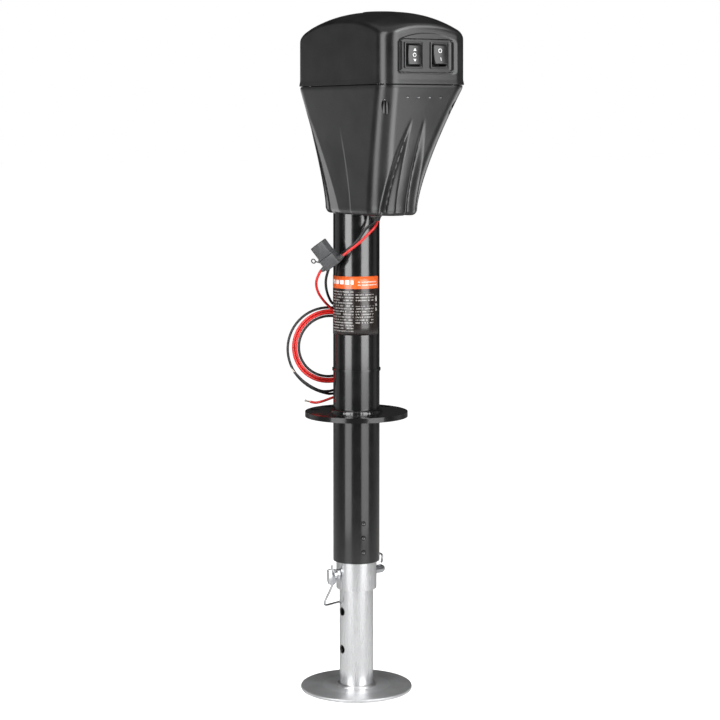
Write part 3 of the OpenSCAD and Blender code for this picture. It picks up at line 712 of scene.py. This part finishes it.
def panel_depth(x, z, grow=0.0):
    """How far the front is pressed in at x, z: a shallow arched step, then the flat switch panel."""
    lip, corner = 0.9 * MM, 5 * MM
    side, foot, head = PANEL_HALF_W + grow - abs(x), z - PANEL_LOW + grow, PANEL_TOP + grow - z
    panel = min(inside_corner(side, foot, corner), inside_corner(side, head, corner))
    side, foot = BROW_HALF_W + grow - abs(x), z - PANEL_LOW + 1.6 * MM + grow
    arch = BROW_R + grow - hypot(x, z - BROW_TOP + BROW_R)
    brow = min(inside_corner(side, foot, corner), inside_corner(side, arch, corner))
    return BROW_DEPTH * ease(brow / lip) + (PANEL_DEPTH - BROW_DEPTH) * ease(panel / lip)


def cover_edge(turn, radius):
    """Ring on the rounded edge from wall to top; turn runs from 0 at the wall to 90 degrees at the top."""
    a = radians(turn)
    return crowned(cover_outline(COVER_STEP + radius * (1 - cos(a))), radius * (1 - sin(a)))


def cover_wall(lip_z, top_ring):
    """Rings up the outside wall, swelling into the rim at the seam, with the switch panel pressed in."""
    rows = 120
    rings = []
    for k in range(rows):
        ring = cover_outline(COVER_STEP)
        for p, end in zip(ring, top_ring):
            p.z = mix(lip_z + 1.1 * MM, end.z, k / rows)
            swell = 1.1 * MM * (1 - ease((p.z - lip_z) / (7 * MM)))
            p += swell * Vector((p.x, p.y - COVER_MID_Y, 0)).normalized()
            if p.y < -COVER_FRONT + COVER_STEP + 0.5 * MM:
                p.y += panel_depth(p.x, p.z)
        rings.append(ring)
    return rings


def cover_top(rim):
    """Rings across the top, down into the crank socket and out again under the roof."""
    def ring_at(radius, z=0.0):
        return hole_ring(rim, CAP_AXIS, radius, z)

    steps, snug, floor_z = 22, CAP_R + 0.45 * MM, CAP_HIGH.z - 5.8 * MM
    rings = [crowned(between(rim, ring_at(CAP_R + 2.2 * MM), k / steps)) for k in range(1, steps + 1)]
    rings += [crowned(ring_at(CAP_R + 1.2 * MM)), crowned(ring_at(snug), 0.5 * MM), ring_at(snug, floor_z)]
    rings += [ring_at(18 * MM, floor_z)] + [ring_at(r, floor_z - 8 * MM) for r in (18 * MM, 30 * MM)]
    roof = cover_outline(WALL + COVER_STEP + 6 * MM)
    return rings + [crowned(between(ring_at(30 * MM), roof, k / 6), WALL) for k in range(1, 7)]


def cover_inside(lip_z, top_ring):
    """Rings down the inside wall, following the pressed-in panel."""
    rings = []
    for k in range(9):
        ring = cover_outline(WALL + COVER_STEP + 2.2 * MM * (1 - k / 8))
        for p, end in zip(ring, top_ring):
            p.z = mix(end.z - 2 * MM, lip_z, k / 8)
            if p.y < -COVER_FRONT + WALL + COVER_STEP + 3 * MM:
                p.y += panel_depth(p.x, p.z, grow=4 * MM)
        rings.append(ring)
    return rings


def upper_cover():
    """The crowned cover with its recessed switch panel and the socket for the crank plug."""
    edge_r = 6.5 * MM
    lip_z = SEAM_Z + 0.2 * MM
    top_ring = cover_edge(0, edge_r)
    rings = [cover_outline(1.6 * MM, lip_z), cover_outline(0.9 * MM, lip_z + 0.5 * MM)]
    rings += cover_wall(lip_z, top_ring) + [cover_edge(turn, edge_r) for turn in range(15, 91, 15)]
    rings += cover_top(rings[-1]) + cover_inside(lip_z, top_ring)
    body = loft("upper_cover_skin", rings, wrap=True, smooth_angle=38)
    opening, depth = Vector((19.9, 20, 26.9)) * MM, -COVER_FRONT + 5 * MM
    cut(body, [block("switch_hole", opening, Vector((x, depth, SWITCH_Z)), round_by=0)
               for x in (-SWITCH_X, SWITCH_X)])
    return shade(body, 38)


def crank_plug():
    """The soft plug over the hand-crank socket, with a finger notch at its rear."""
    r = CAP_R / MM
    profile = [(0, -1.8), (9, -1.6), (r - 4, -1.5), (r - 1.6, -1.8), (r - 0.4, -2.6), (r, -3.8),
               (r - 0.2, -5.7), (17.8, -5.7), (17.6, -13.6), (15.5, -14.2), (15.5, -7.2), (0, -7.2)]
    top = Vector((CAP_AXIS.x, CAP_AXIS.y, CAP_HIGH.z))
    plug = lathe("crank_plug", mm(profile), top)
    cut(plug, [block("notch", Vector((6, 4, 6)) * MM, top + Vector((0, CAP_R, -1 * MM)), round_by=0)])
    return shade(plug, 35)


# ---- switches

def rect_ring(half_x, half_z, corner, y, centre):
    """A rounded rectangle standing in the switch plane."""
    points = []
    for q, (sx, sz) in enumerate(((1, 1), (-1, 1), (-1, -1), (1, -1))):
        for a in (radians(90 * q + 15 * k) for k in range(7)):
            points.append(Vector((centre.x + sx * (half_x - corner) + corner * cos(a), y,
                                  centre.z + sz * (half_z - corner) + corner * sin(a))))
    return points


def switch_frame(name, x):
    """Bezel, body and terminals of one rocker switch."""
    centre = Vector((x, 0, SWITCH_Z))
    face = -COVER_FRONT + COVER_STEP + PANEL_DEPTH
    # half width, half height, corner radius, depth behind the panel
    steps = mm([(12.4, 15.3, 1.2, 0), (12.5, 15.4, 1.2, -1.3), (12.1, 15, 1.4, -1.75),
                (11.3, 13.9, 1.2, -1.9), (10.9, 13.3, 1, -1.5), (10.2, 12.5, 0.7, -1.2),
                (9.9, 12.2, 0.6, -0.7), (9.5, 12, 0.5, 6), (9.5, 12, 0.5, 13.5), (1, 1, 0.4, 13.5),
                (1, 1, 0.4, 20), (9.8, 13.2, 0.8, 20), (9.8, 13.2, 0.8, 0.2)])
    rings = [rect_ring(hx, hz, r, face + y, centre) for hx, hz, r, y in steps]
    bezel = loft(name, rings, wrap=True, smooth_angle=30)
    tab_at = centre + Vector((0, face + 23 * MM, 0))
    tabs = [block("tab", Vector((6.3, 8, 0.8)) * MM, tab_at + Vector((0, 0, k * 7 * MM)), 0.15 * MM, 1)
            for k in (-1, 0, 1)]
    return join(name, [bezel] + tabs)


ROCKER_HALF = 11 * MM


def rocker_face(up):
    """Outward distance of the rocker's face at height up above its pivot."""
    proud, waist = 7.2 * MM, 5.6 * MM
    return -(waist + (proud - waist) * min(1.0, abs(up) / ROCKER_HALF) ** 1.2)


def rocker_profile():
    """Side outline of a rocker, (outward, up) from its pivot, as a rounded shallow V."""
    face = [(rocker_face(up), up) for up in (ROCKER_HALF * k / 12 for k in range(-12, 13))]
    return face + mm([(-4.2, 11.3), (1, 10.4), (4.4, 3.6), (4.4, -3.6), (1, -10.4), (-4.2, -11.3)])


def rocker(name, pivot, tilt):
    """A rocker swung by tilt about its pivot, with rounded edges and a pivot pin."""
    body = loft(name, [[Vector((x, y, z)) for y, z in rocker_profile()] for x in (-8.8 * MM, 8.8 * MM)])
    bevel(body, 0.6 * MM, 3, angle=40)
    cap = join(name, [body, rod("pin", 1.9, -9.4, 9.4, axis="X")])
    cap.data.transform(Matrix.Translation(pivot) @ Matrix.Rotation(tilt, 4, "X"))
    return shade(cap, 35)


def printed(name, shapes, pivot, tilt):
    """Thin raised marks on a rocker face, each a list of (across, up) loops: outer, then any hole."""
    base, proud = 0.03 * MM, 0.2 * MM
    marks = []
    for loops in shapes:
        rings = [[Vector((x, rocker_face(z) - out, z)) for x, z in loop]
                 for loop, outs in zip(loops, ((base, proud), (proud, base))) for out in outs]
        marks.append(loft("mark", rings, wrap=len(loops) > 1))
    obj = join(name, marks)
    obj.data.transform(Matrix.Translation(pivot) @ Matrix.Rotation(tilt, 4, "X"))
    return obj


def ring_mark(up, radius, width):
    return [[(r * cos(a), up + r * sin(a)) for a in round_turn(28)] for r in (radius, radius - width)]


def arrow_mark(up, size, way):
    base = up - way * size * 0.45
    return [[(-size * 0.62, base), (size * 0.62, base), (0, up + way * size * 0.55)]]


def bar_mark(up, height, width):
    x, low, high = width / 2, up - height / 2, up + height / 2
    return [[(-x, low), (x, low), (x, high), (-x, high)]]


def switches():
    """Both rocker switches with their generic symbols."""
    up_down = [arrow_mark(6.2 * MM, 3.2 * MM, 1), ring_mark(0, 2.3 * MM, 0.6 * MM),
               arrow_mark(-6.2 * MM, 3.2 * MM, -1)]
    on_off = [ring_mark(4.6 * MM, 2.5 * MM, 0.6 * MM), bar_mark(-5.4 * MM, 4.2 * MM, 0.7 * MM)]
    place(switch_frame("jack_switch_frame", -SWITCH_X), "post", BEZEL, ["switch_bodies"])
    place(switch_frame("light_switch_frame", SWITCH_X), "post", BEZEL)
    for use, x, tilt, marks in (("jack", -SWITCH_X, 0, up_down), ("light", SWITCH_X, radians(-9), on_off)):
        pivot = Vector((x, PIVOT.y, SWITCH_Z))
        cap = rocker(f"{use}_rocker_cap", pivot, tilt)
        place(cap, f"{use}_switch", ROCKER, [f"{use}_rocker"])
        print_on = printed(f"{use}_rocker_marks", marks, pivot, tilt)
        place(print_on, f"{use}_switch", WHITE_PRINT)


# ---- wiring

TO_WORLD = Matrix.Rotation(WIRING_TURN, 4, "Z")


def side_points(values):
    """Points given in millimetres in the wiring plane, as vectors in metres."""
    return [Vector(v) * MM for v in values]


def fuse_point(u, v=0.0, w=-3.2):
    """A point of the fuse holder in the wiring plane: u along it, v through it, w up it, in millimetres."""
    return FUSE_SPACE @ (Vector((u, v, w)) * MM)


def coil_point(degrees, tops, bottoms, depths, offs, belly):
    """A point of a coil wound clockwise from its top.

    Turn n crosses behind the tube from radius tops[n] to bottoms[n], standing off by offs[n], then comes
    round the open side at depth depths[n + 1] to radius tops[n + 1]. Radii are added to COIL_R.
    """
    turn = (90 - degrees) / 360
    n = floor(turn)
    t = 2 * (turn - n)
    if t < 1:
        r = mix(tops[n], bottoms[n], ease((t - 0.33) / 0.34))
        depth = mix(depths[n], depths[n + 1], ease(t)) + offs[n] * ease(3 * min(t, 1 - t))
    else:
        r = mix(tops[n + 1], bottoms[n], (2 - t) ** 4) + belly[n] * sin(pi * (t - 1))
        depth = depths[n + 1]
    a = radians(degrees)
    across = COIL_X + (COIL_R + r) * cos(a)
    return Vector((across, 36.5 + 0.3 * across + depth, COIL_Z + (COIL_R + r) * sin(a))) * MM


def gland_start(side):
    """A lead's first points, down through one side of the gland."""
    low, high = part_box("cable_gland")
    at = TO_WORLD.inverted() @ Vector((side * 1.9 * MM, (low.y + high.y) / 2, 0))
    return [Vector((at.x, at.y, TUB_Z + up * MM)) for up in (8, -2, -9)]


def red_paths():
    """The red lead in its two lengths: gland to fuse holder, and fuse holder round the coil to its tip."""
    first = gland_start(1) + side_points([(21.5, -41.5, 566), (14, -44.5, 558.5), (5, -45.3, 549.5),
                                          (-5, -45, 541.5), (-11, -43.9, 536.9)])
    down = side_points([(-48, -17, 502.5), (-49, -10, 494), (-46.5, -2, 484), (-41, 8, 474.5),
                        (-34.4, 17, 466.4), (-27, 23.8, 459.6), (-16, 28, 456)])
    turns = [coil_point(a, (3.7, 0, -3.4, -1.6), (0, -3.4, -1.6, 18.7), (0, 0, 0, 3.4, -4),
                        (-3.9, 0, 3.6, 13.4), (0, 0, 0)) for a in range(48, -1153, -6)]
    tip = side_points([(-31, 21, 352), (-41, 17, 348.8), (-50, 14, 347.2), (-57, 13.5, 348.4)])
    second = smooth_path([fuse_point(-19.3), fuse_point(-21.5)] + down + [turns[0]])
    return smooth_path(first + [fuse_point(21), fuse_point(19.3)]), second + turns[1:] + smooth_path(tip)


def black_path():
    """The black lead, gland to tip, down behind the fuse holder and round the inside of the coil."""
    down = side_points([(16, -38.5, 568.5), (10.6, -38, 563.5), (4.5, -37.5, 554.5), (-3, -36.5, 546),
                        (-10.5, -34, 539.5), (-22, -24.5, 530), (-31, -16, 519.5), (-35.5, -10, 508.8),
                        (-37.5, -5, 498), (-36.6, 2, 487), (-33.5, 12, 476.5), (-28.5, 21, 468.5),
                        (-17, 28.5, 464.8)])
    turns = [coil_point(a, (8.7, 3.6, -6.9), (15.1, -6.9, 10.7), (-1, 0, 0, -4), (0, 9, 15), (2.4, 0))
             for a in range(48, -793, -6)]
    tip = side_points([(-33, 22.5, 360.3), (-43.6, 19, 361), (-55, 14.5, 366.5), (-67, 10.5, 375.5),
                       (-76.5, 9, 385.5)])
    return smooth_path(gland_start(-1) + down + [turns[0]]) + turns[1:] + smooth_path(tip)


def strands(name, path):
    """Bare tinned strands splaying from a lead's cut end: six round a straight one."""
    end, way = path[-1], (path[-1] - path[-3]).normalized()
    side = way.orthogonal().normalized()
    over = way.cross(side)
    outs = [cos(a) * side + sin(a) * over for a in round_turn(6)] + [Vector()]
    parts = []
    for k, out in enumerate(outs):
        bend = noise.noise(Vector((k, 3.1, 0.4))) * MM
        points = [end - way * 2 * MM + out * 0.7 * MM, end + way * 3 * MM + out * 0.8 * MM,
                  end + way * 7 * MM + out * (1.0 * MM + bend)]
        parts.append(sweep("strand", smooth_path(points, 4), 0.3 * MM, 6))
    return join(name, parts)


def wiring():
    """Supply leads from the gland, through the fuse holder and round the spare coil."""
    to_fuse, coiled = red_paths()
    black = black_path()
    pieces = ((sweep("red_lead_to_fuse", to_fuse, LEAD_R), RED_PVC, "red_pvc", ["red_lead"]),
              (sweep("red_lead_coil", coiled, LEAD_R), RED_PVC, "red_pvc", []),
              (sweep("black_lead_coil", black, LEAD_R), BLACK_PVC, "black_pvc", ["black_lead"]),
              (strands("red_strands", coiled), COPPER, "red_pvc", []),
              (strands("black_strands", black), COPPER, "black_pvc", []))
    for obj, finish, slot, nodes in pieces:
        obj.data.transform(TO_WORLD)
        place(obj, "post", finish, nodes)


def shell_block(name, size, centre, hollow, hollow_centre, round_by):
    """A rounded block with a rounded hollow taken out of it, in millimetres."""
    shell = block(name, Vector(size) * MM, Vector(centre) * MM, round_by * MM)
    return cut(shell, [block("hollow", Vector(hollow) * MM, Vector(hollow_centre) * MM, 0.4 * MM, 2)])


def ribs(size, pitch, z):
    """Seven grip ribs across the holder, in millimetres."""
    return [block("rib", Vector(size) * MM, Vector((k * pitch, 0, z)) * MM, 0.3 * MM, 2)
            for k in range(-3, 4)]


def cable_boot(side):
    """The stepped rubber sleeve where a lead enters the holder."""
    profile = mm([(0, 0), (3.3, 0), (3.3, 1.2), (2.9, 1.6), (2.9, 2.2), (3.15, 2.6), (3.1, 3.6), (2.7, 4),
                  (2.7, 4.8), (2.95, 5.2), (2.9, 6.2), (2.5, 6.6), (2.5, 7.6), (2.3, 8.4), (1.7, 8.6),
                  (0, 8.6)])
    return lathe("boot", profile, Vector((side * 10.4, 0, -3.2)) * MM, "X" if side > 0 else "-X", 40)


def tether():
    """The moulded strap and eye on the holder's lower end."""
    eye_at = Vector((-18.4, -3, 12)) * MM
    eye = [eye_at + 2.6 * MM * Vector((cos(a), 0, sin(a))) for a in round_turn(40)]
    strap = smooth_path(side_points([(-10, -3, 3.6), (-12.4, -3, 6.2), (-14.4, -3, 8.2), (-16.4, -3, 10.1)]))
    return [sweep("eye", eye + [eye[0]], 0.75 * MM, 10), sweep("strap", strap, 0.9 * MM, 10)]


def fuse_holder():
    """Inline blade-fuse holder: body with cable boots and tether eye, and a ribbed lift-off cover."""
    body = [shell_block("case", (22.4, 11.6, 15), (0, 0, 0), (16, 6, 14), (0, 0, 4), 0.9)]
    body += ribs((0.9, 12.2, 8), 2.6, -1.2) + [cable_boot(-1), cable_boot(1)] + tether()
    lid = [shell_block("cover", (19.6, 11.8, 18.4), (0, 0, 16.8), (15.2, 6.4, 15.5), (0, 0, 13.8), 0.9)]
    lid += ribs((0.9, 12.4, 12), 2.4, 17.5)
    lid.append(shell_block("skirt", (22, 12.4, 2.0), (0, 0, 8.6), (15.2, 6.4, 4), (0, 0, 8.6), 0.5))
    for name, parts, rides, node in (("fuse_holder_body", body, "post", "fuse_body"),
                                     ("fuse_holder_cover", lid, "fuse_lid", "fuse_cap")):
        obj = join(name, parts)
        obj.data.transform(TO_WORLD @ FUSE_SPACE)
        place(obj, rides, HOLDER, [node])


# ---- tube, flange, leg

def label_wrap():
    """Printed film wrapped round the side of the tube, unwrapped for its print."""
    bm = bmesh.new()
    uv = bm.loops.layers.uv.new("UVMap")
    span, columns, rows = radians(172), 86, 8
    start = WIRING_TURN - pi / 2 - radians(105)
    r = TUBE_R + 0.3 * MM
    grid = []
    for j in range(rows + 1):
        z = mix(LABEL_LOW.z, LABEL_HIGH.z, j / rows)
        grid.append([bm.verts.new((r * cos(a), r * sin(a), z))
                     for a in (start + span * i / columns for i in range(columns + 1))])
    for j in range(rows):
        for i in range(columns):
            corners = ((i, j), (i + 1, j), (i + 1, j + 1), (i, j + 1))
            face = bm.faces.new([grid[b][a] for a, b in corners])
            for loop, (a, b) in zip(face.loops, corners):
                loop[uv].uv = (a / columns, b / rows)
    film = shade(from_bmesh("label_film", bm))
    solid = film.modifiers.new("thickness", "SOLIDIFY")
    solid.thickness = 0.25 * MM
    solid.offset = -1
    return apply_modifiers(film)


def weld_bead(name, radius, width, height, z, ripples):
    """A fillet weld round a tube, its faint ripples overlapping like laid coins."""
    steps = 6
    rings = []
    for i, a in enumerate(round_turn(ripples * steps)):
        uneven = noise.noise(Vector((cos(a), sin(a), z)) * 3)
        swell = 1 + 0.035 * sin(pi * (i % steps) / steps) + 0.06 * uneven
        section = []
        for t in (k / 8 for k in range(9)):
            bulge = 0.28 * sin(pi * t) * height
            out, up = width * swell * (1 - t) ** 1.35, height * swell * t ** 1.35
            section.append((radius + out + bulge, z + up + bulge))
        section += [(radius - 0.4 * MM, z + height), (radius - 0.4 * MM, z)]
        rings.append([Vector((r * cos(a), r * sin(a), h)) for r, h in section])
    return loft(name, rings, wrap=True, smooth_angle=60)


def foot_disc():
    """Foot plate with rolled edge and faint pressed ring."""
    r, top = FOOT_HIGH.x / MM, FOOT_HIGH.z / MM
    profile = [(0, 0), (r - 1.6, 0), (r - 0.5, 0.4), (r, 1.4), (r, top - 1.3), (r - 0.4, top - 0.4),
               (r - 1.4, top), (r * 0.62, top - 0.05), (r * 0.6, top), (0, top)]
    return lathe("foot_disc", mm(profile), count=160)


def pull_pin():
    """Clevis-headed pull pin: shouldered shank with a stamped head drilled for the bail."""
    profile = [(0, -29), (6.4, -29), (6.7, -28.4), (6.7, -26.6), (6.2, -26), (5, -26), (5, 36.6),
               (4.6, 37.6), (3.2, 39.6), (1.6, 40.3), (0, 40.4)]
    shank = lathe("shank", mm(profile), axis="X", count=48)
    neck = lathe("neck", mm([(0, -33), (4.2, -33), (4.6, -29), (0, -29)]), axis="X", count=40)
    edge = [(-41, 7.4), (-30.6, 7.4), (-29.8, 6.4), (-29.8, -4.5)]
    edge += [(-35.3 + 5.5 * cos(radians(a)), -6.5 + 5.5 * sin(radians(a)))
             for a in range(0, -181, -20)]
    edge.append((-41, -5))
    plate = loft("plate", [[Vector((x, y, z)) * MM for x, z in edge] for y in (-2.2, 2.2)])
    bevel(plate, 0.7 * MM, 3, 50)
    apply_modifiers(plate)
    cut(plate, [rod("hole", 1.6, -30, 30, Vector((-35 * MM, 0, 0)), count=24)])
    pin = join("pull_pin_body", [shank, neck, plate])
    pin.data.transform(Matrix.Translation((0, 0, PIN_Z)))
    return shade(pin, 40)


def bail_wire():
    """Sprung wire loop from the pin head, behind the leg and over the pin tip."""
    straight = side_points([(-35, 0, 12), (-35, 0, 4)])
    loop = side_points([(-35, 0, -13), (-36.8, 1.8, -19), (-39.9, 8.4, -33), (-36.5, 13.4, -38.5),
                        (-26.9, 19.2, -40.5), (-5.3, 29.3, -42), (15.9, 25.4, -41), (28.9, 16.1, -33),
                        (33, 10, -20), (33.5, 8.6, -8), (33.5, 8.6, 6), (36.5, 8.6, 14), (39.5, 8, 16.5),
                        (41, 5, 14.5), (38.5, 1.8, 10), (36.5, 0, 7.6)])
    wire = sweep("bail_wire", straight + smooth_path(loop), 1.3 * MM, 12)
    wire.data.transform(Matrix.Translation((0, 0, PIN_Z)))
    return wire


# ---- assembly

def dress(nodes, finish, round_by=0):
    """Gives CAD nodes a material and, where they show, rounded edges."""
    for name in nodes:
        obj = NODES[name]
        obj.data.materials.clear()
        obj.data.materials.append(finish)
        shade(obj, 30)
        if round_by:
            bevel(obj, round_by, 2, 40)


def build():
    """Every finished piece, and the looks of the CAD nodes that stay."""
    place(lower_housing(), "post", HEAD, ["lower_housing"])
    place(upper_cover(), "post", HEAD, ["upper_cover", "switch_panel"])
    place(crank_plug(), "cap", RUBBER, ["override_cap"])
    switches()
    wiring()
    fuse_holder()
    place(label_wrap(), "post", LABEL, ["tube_label"])
    flange_bead = weld_bead("flange_weld_bead", TUBE_R, 4.2 * MM, 4.2 * MM, FLANGE_TOP, 46)
    place(flange_bead, "post", POWDER, ["flange_weld"])
    foot_bead = weld_bead("foot_weld_bead", LEG_R, 3.6 * MM, 3.4 * MM, FOOT_HIGH.z, 40)
    place(foot_bead, "leg", ZINC_WELD, ["foot_weld"])
    place(foot_disc(), "leg", ZINC_PLATE, ["foot_plate"])
    place(pull_pin(), "pin", WIRE, ["pull_pin"])
    place(bail_wire(), "bail", WIRE, ["pin_bail"])
    dress(["outer_tube", "mount_flange", "snap_ring"], POWDER, 0.5 * MM)
    dress(["inner_tube", "drop_leg"], ZINC_TUBE, 0.5 * MM)
    dress(["cable_gland"], PANEL, 0.4 * MM)
    for finish, nodes in ((CHROME, ["housing_screws"]), (CASTING, ["gear_case", "gear_case_lid"]),
                          (DARK_SCREW, ["case_screws"]), (MOTOR, ["gear_motor"]),
                          (MACHINED, ["thrust_bearing", "lead_screw", "main_gear", "motor_pinion"]),
                          (BRONZE, ["ram_nut"]), (LENS, ["led_lenses"]), (BOARD, ["led_board"]),
                          (FUSE_BLUE, ["blade_fuse"])):
        dress(nodes, finish)


# ---- studio

SURROUND = 0.03              # how bright the surround looks to the object
CAMERA_TURN = radians(-32)
CAMERA_FAR = 2.4
CAMERA_HEIGHT = 0.69
FOCAL_SHARE = 1955 / 720     # focal length over the frame's width
HORIZON_RISE = 235 / 720     # horizon above the middle of the frame
STRIPS = (("left_softbox", -40, 0.85, 1.14, 1.14, (0.5, 1.7), 15),
          ("right_softbox", 43, 0.85, 1.14, 1.14, (0.58, 1.7), 16.5),
          ("left_low_strip", -40, 0.85, 0.15, 0.15, (0.5, 0.27), 0.85),
          ("right_low_strip", 43, 0.85, 0.15, 0.15, (0.58, 0.27), 0.95),
          ("left_fill", -112, 1.8, 0.8, 0.45, (1.3, 1.9), 2.2),
          ("right_fill", 105, 1.8, 0.8, 0.45, (0.9, 1.9), 1.0))
CARDS = (("brow_card", 64, 0.9, 1.75, 0.66, (0.9, 0.5), 7),
         ("left_low_card", -47, 0.62, 0.03, 0.66, (0.4, 0.5), 2.8),
         ("right_low_card", 50, 0.62, 0.03, 0.66, (0.42, 0.5), 4.4),
         ("left_flute_card", -142, 1.0, 0.4, 0.66, (0.7, 0.7), 2.0),
         ("rear_flank_card", 125, 1.0, 0.33, 0.66, (0.45, 0.5), 1.8))


def soft_light(name, at, target, size, power):
    """A rectangular lamp that the camera does not see."""
    data = bpy.data.lights.new(name, "AREA")
    data.shape = "RECTANGLE"
    data.size, data.size_y = size
    data.energy = power
    lamp = add_object(name, data)
    lamp.location = at
    lamp.visible_camera = False
    lamp.rotation_euler = (Vector(target) - Vector(at)).to_track_quat("-Z", "Y").to_euler()
    return lamp


def around(turn, far, z):
    """A place round the tube's axis: turn is degrees right of the camera, far its distance."""
    a = CAMERA_TURN + radians(turn)
    return (sin(a) * far, -cos(a) * far, z)


def light_only(lamps, receivers):
    """Makes small cards touch the head mouldings alone, as flags would on a real set."""
    group = bpy.data.collections.new("card_receivers")
    for name in receivers:
        group.objects.link(bpy.data.objects[name])
    for lamp in lamps:
        lamp.light_linking.receiver_collection = group


def lamps(table):
    """Lamps given as name, degrees right of the camera, distance, height, aimed-at height, size and watts."""
    return [soft_light(name, around(turn, far, z), (0, -0.03, aim_z), size, power)
            for name, turn, far, z, aim_z, size, power in table]


def surround():
    """White to the camera, a dim grey to everything lit by it, so the blacks stay black."""
    world = bpy.data.worlds.new("studio")
    world.use_nodes = True
    tree = world.node_tree
    background = tree.nodes["Background"]
    background.inputs["Color"].default_value = (1, 1, 1, 1)
    level = tree.nodes.new("ShaderNodeMapRange")
    level.inputs["To Min"].default_value, level.inputs["To Max"].default_value = SURROUND, 1.0
    seen = tree.nodes.new("ShaderNodeLightPath").outputs["Is Camera Ray"]
    tree.links.new(seen, level.inputs["Value"])
    tree.links.new(level.outputs["Result"], background.inputs["Strength"])
    bpy.context.scene.world = world


def photo_camera():
    """A level camera at the photograph's viewpoint, its lens shifted down to the jack."""
    data = bpy.data.cameras.new("photo_camera")
    data.sensor_width = 36
    data.lens = data.sensor_width * FOCAL_SHARE
    data.shift_x = 0.005
    data.clip_start = 0.05
    camera = add_object("photo_camera", data)
    camera.location = around(0, CAMERA_FAR, CAMERA_HEIGHT)
    camera.rotation_euler = Euler((pi / 2, 0, CAMERA_TURN))
    bpy.context.scene.camera = camera
    shift_lens_at(camera.location.copy(), camera)


def shift_lens_at(viewpoint, camera):
    """Shifts the lens while the camera stands at viewpoint; a camera moved elsewhere looks straight ahead."""
    marker = add_object("photo_viewpoint", None)
    marker.location = viewpoint
    curve = camera.data.driver_add("shift_y")
    curve.driver.type = "AVERAGE"
    distance = curve.driver.variables.new()
    distance.type = "LOC_DIFF"
    distance.targets[0].id = camera
    distance.targets[1].id = marker
    curve.modifiers.remove(curve.modifiers[0])
    for metres, shift in ((0, -HORIZON_RISE), (0.1, 0)):
        curve.keyframe_points.insert(metres, shift).interpolation = "LINEAR"


def studio():
    """Pale floor, white surround, soft strip lights and the camera."""
    bm = bmesh.new()
    bmesh.ops.create_grid(bm, x_segments=1, y_segments=1, size=30)
    paper = new_object("studio_floor", bm)
    paper.location.z = -0.5 * MM
    paper.data.materials.append(plain_white("studio_paper"))
    surround()
    bpy.context.scene.view_settings.view_transform = "Standard"
    lamps(STRIPS)
    soft_light("top_softbox", around(0, 0.2, 2.4), (0, 0, 0), (2.4, 2.4), 10)
    light_only(lamps(CARDS), ["lower_housing_skin", "upper_cover_skin"])
    photo_camera()


build()
studio()
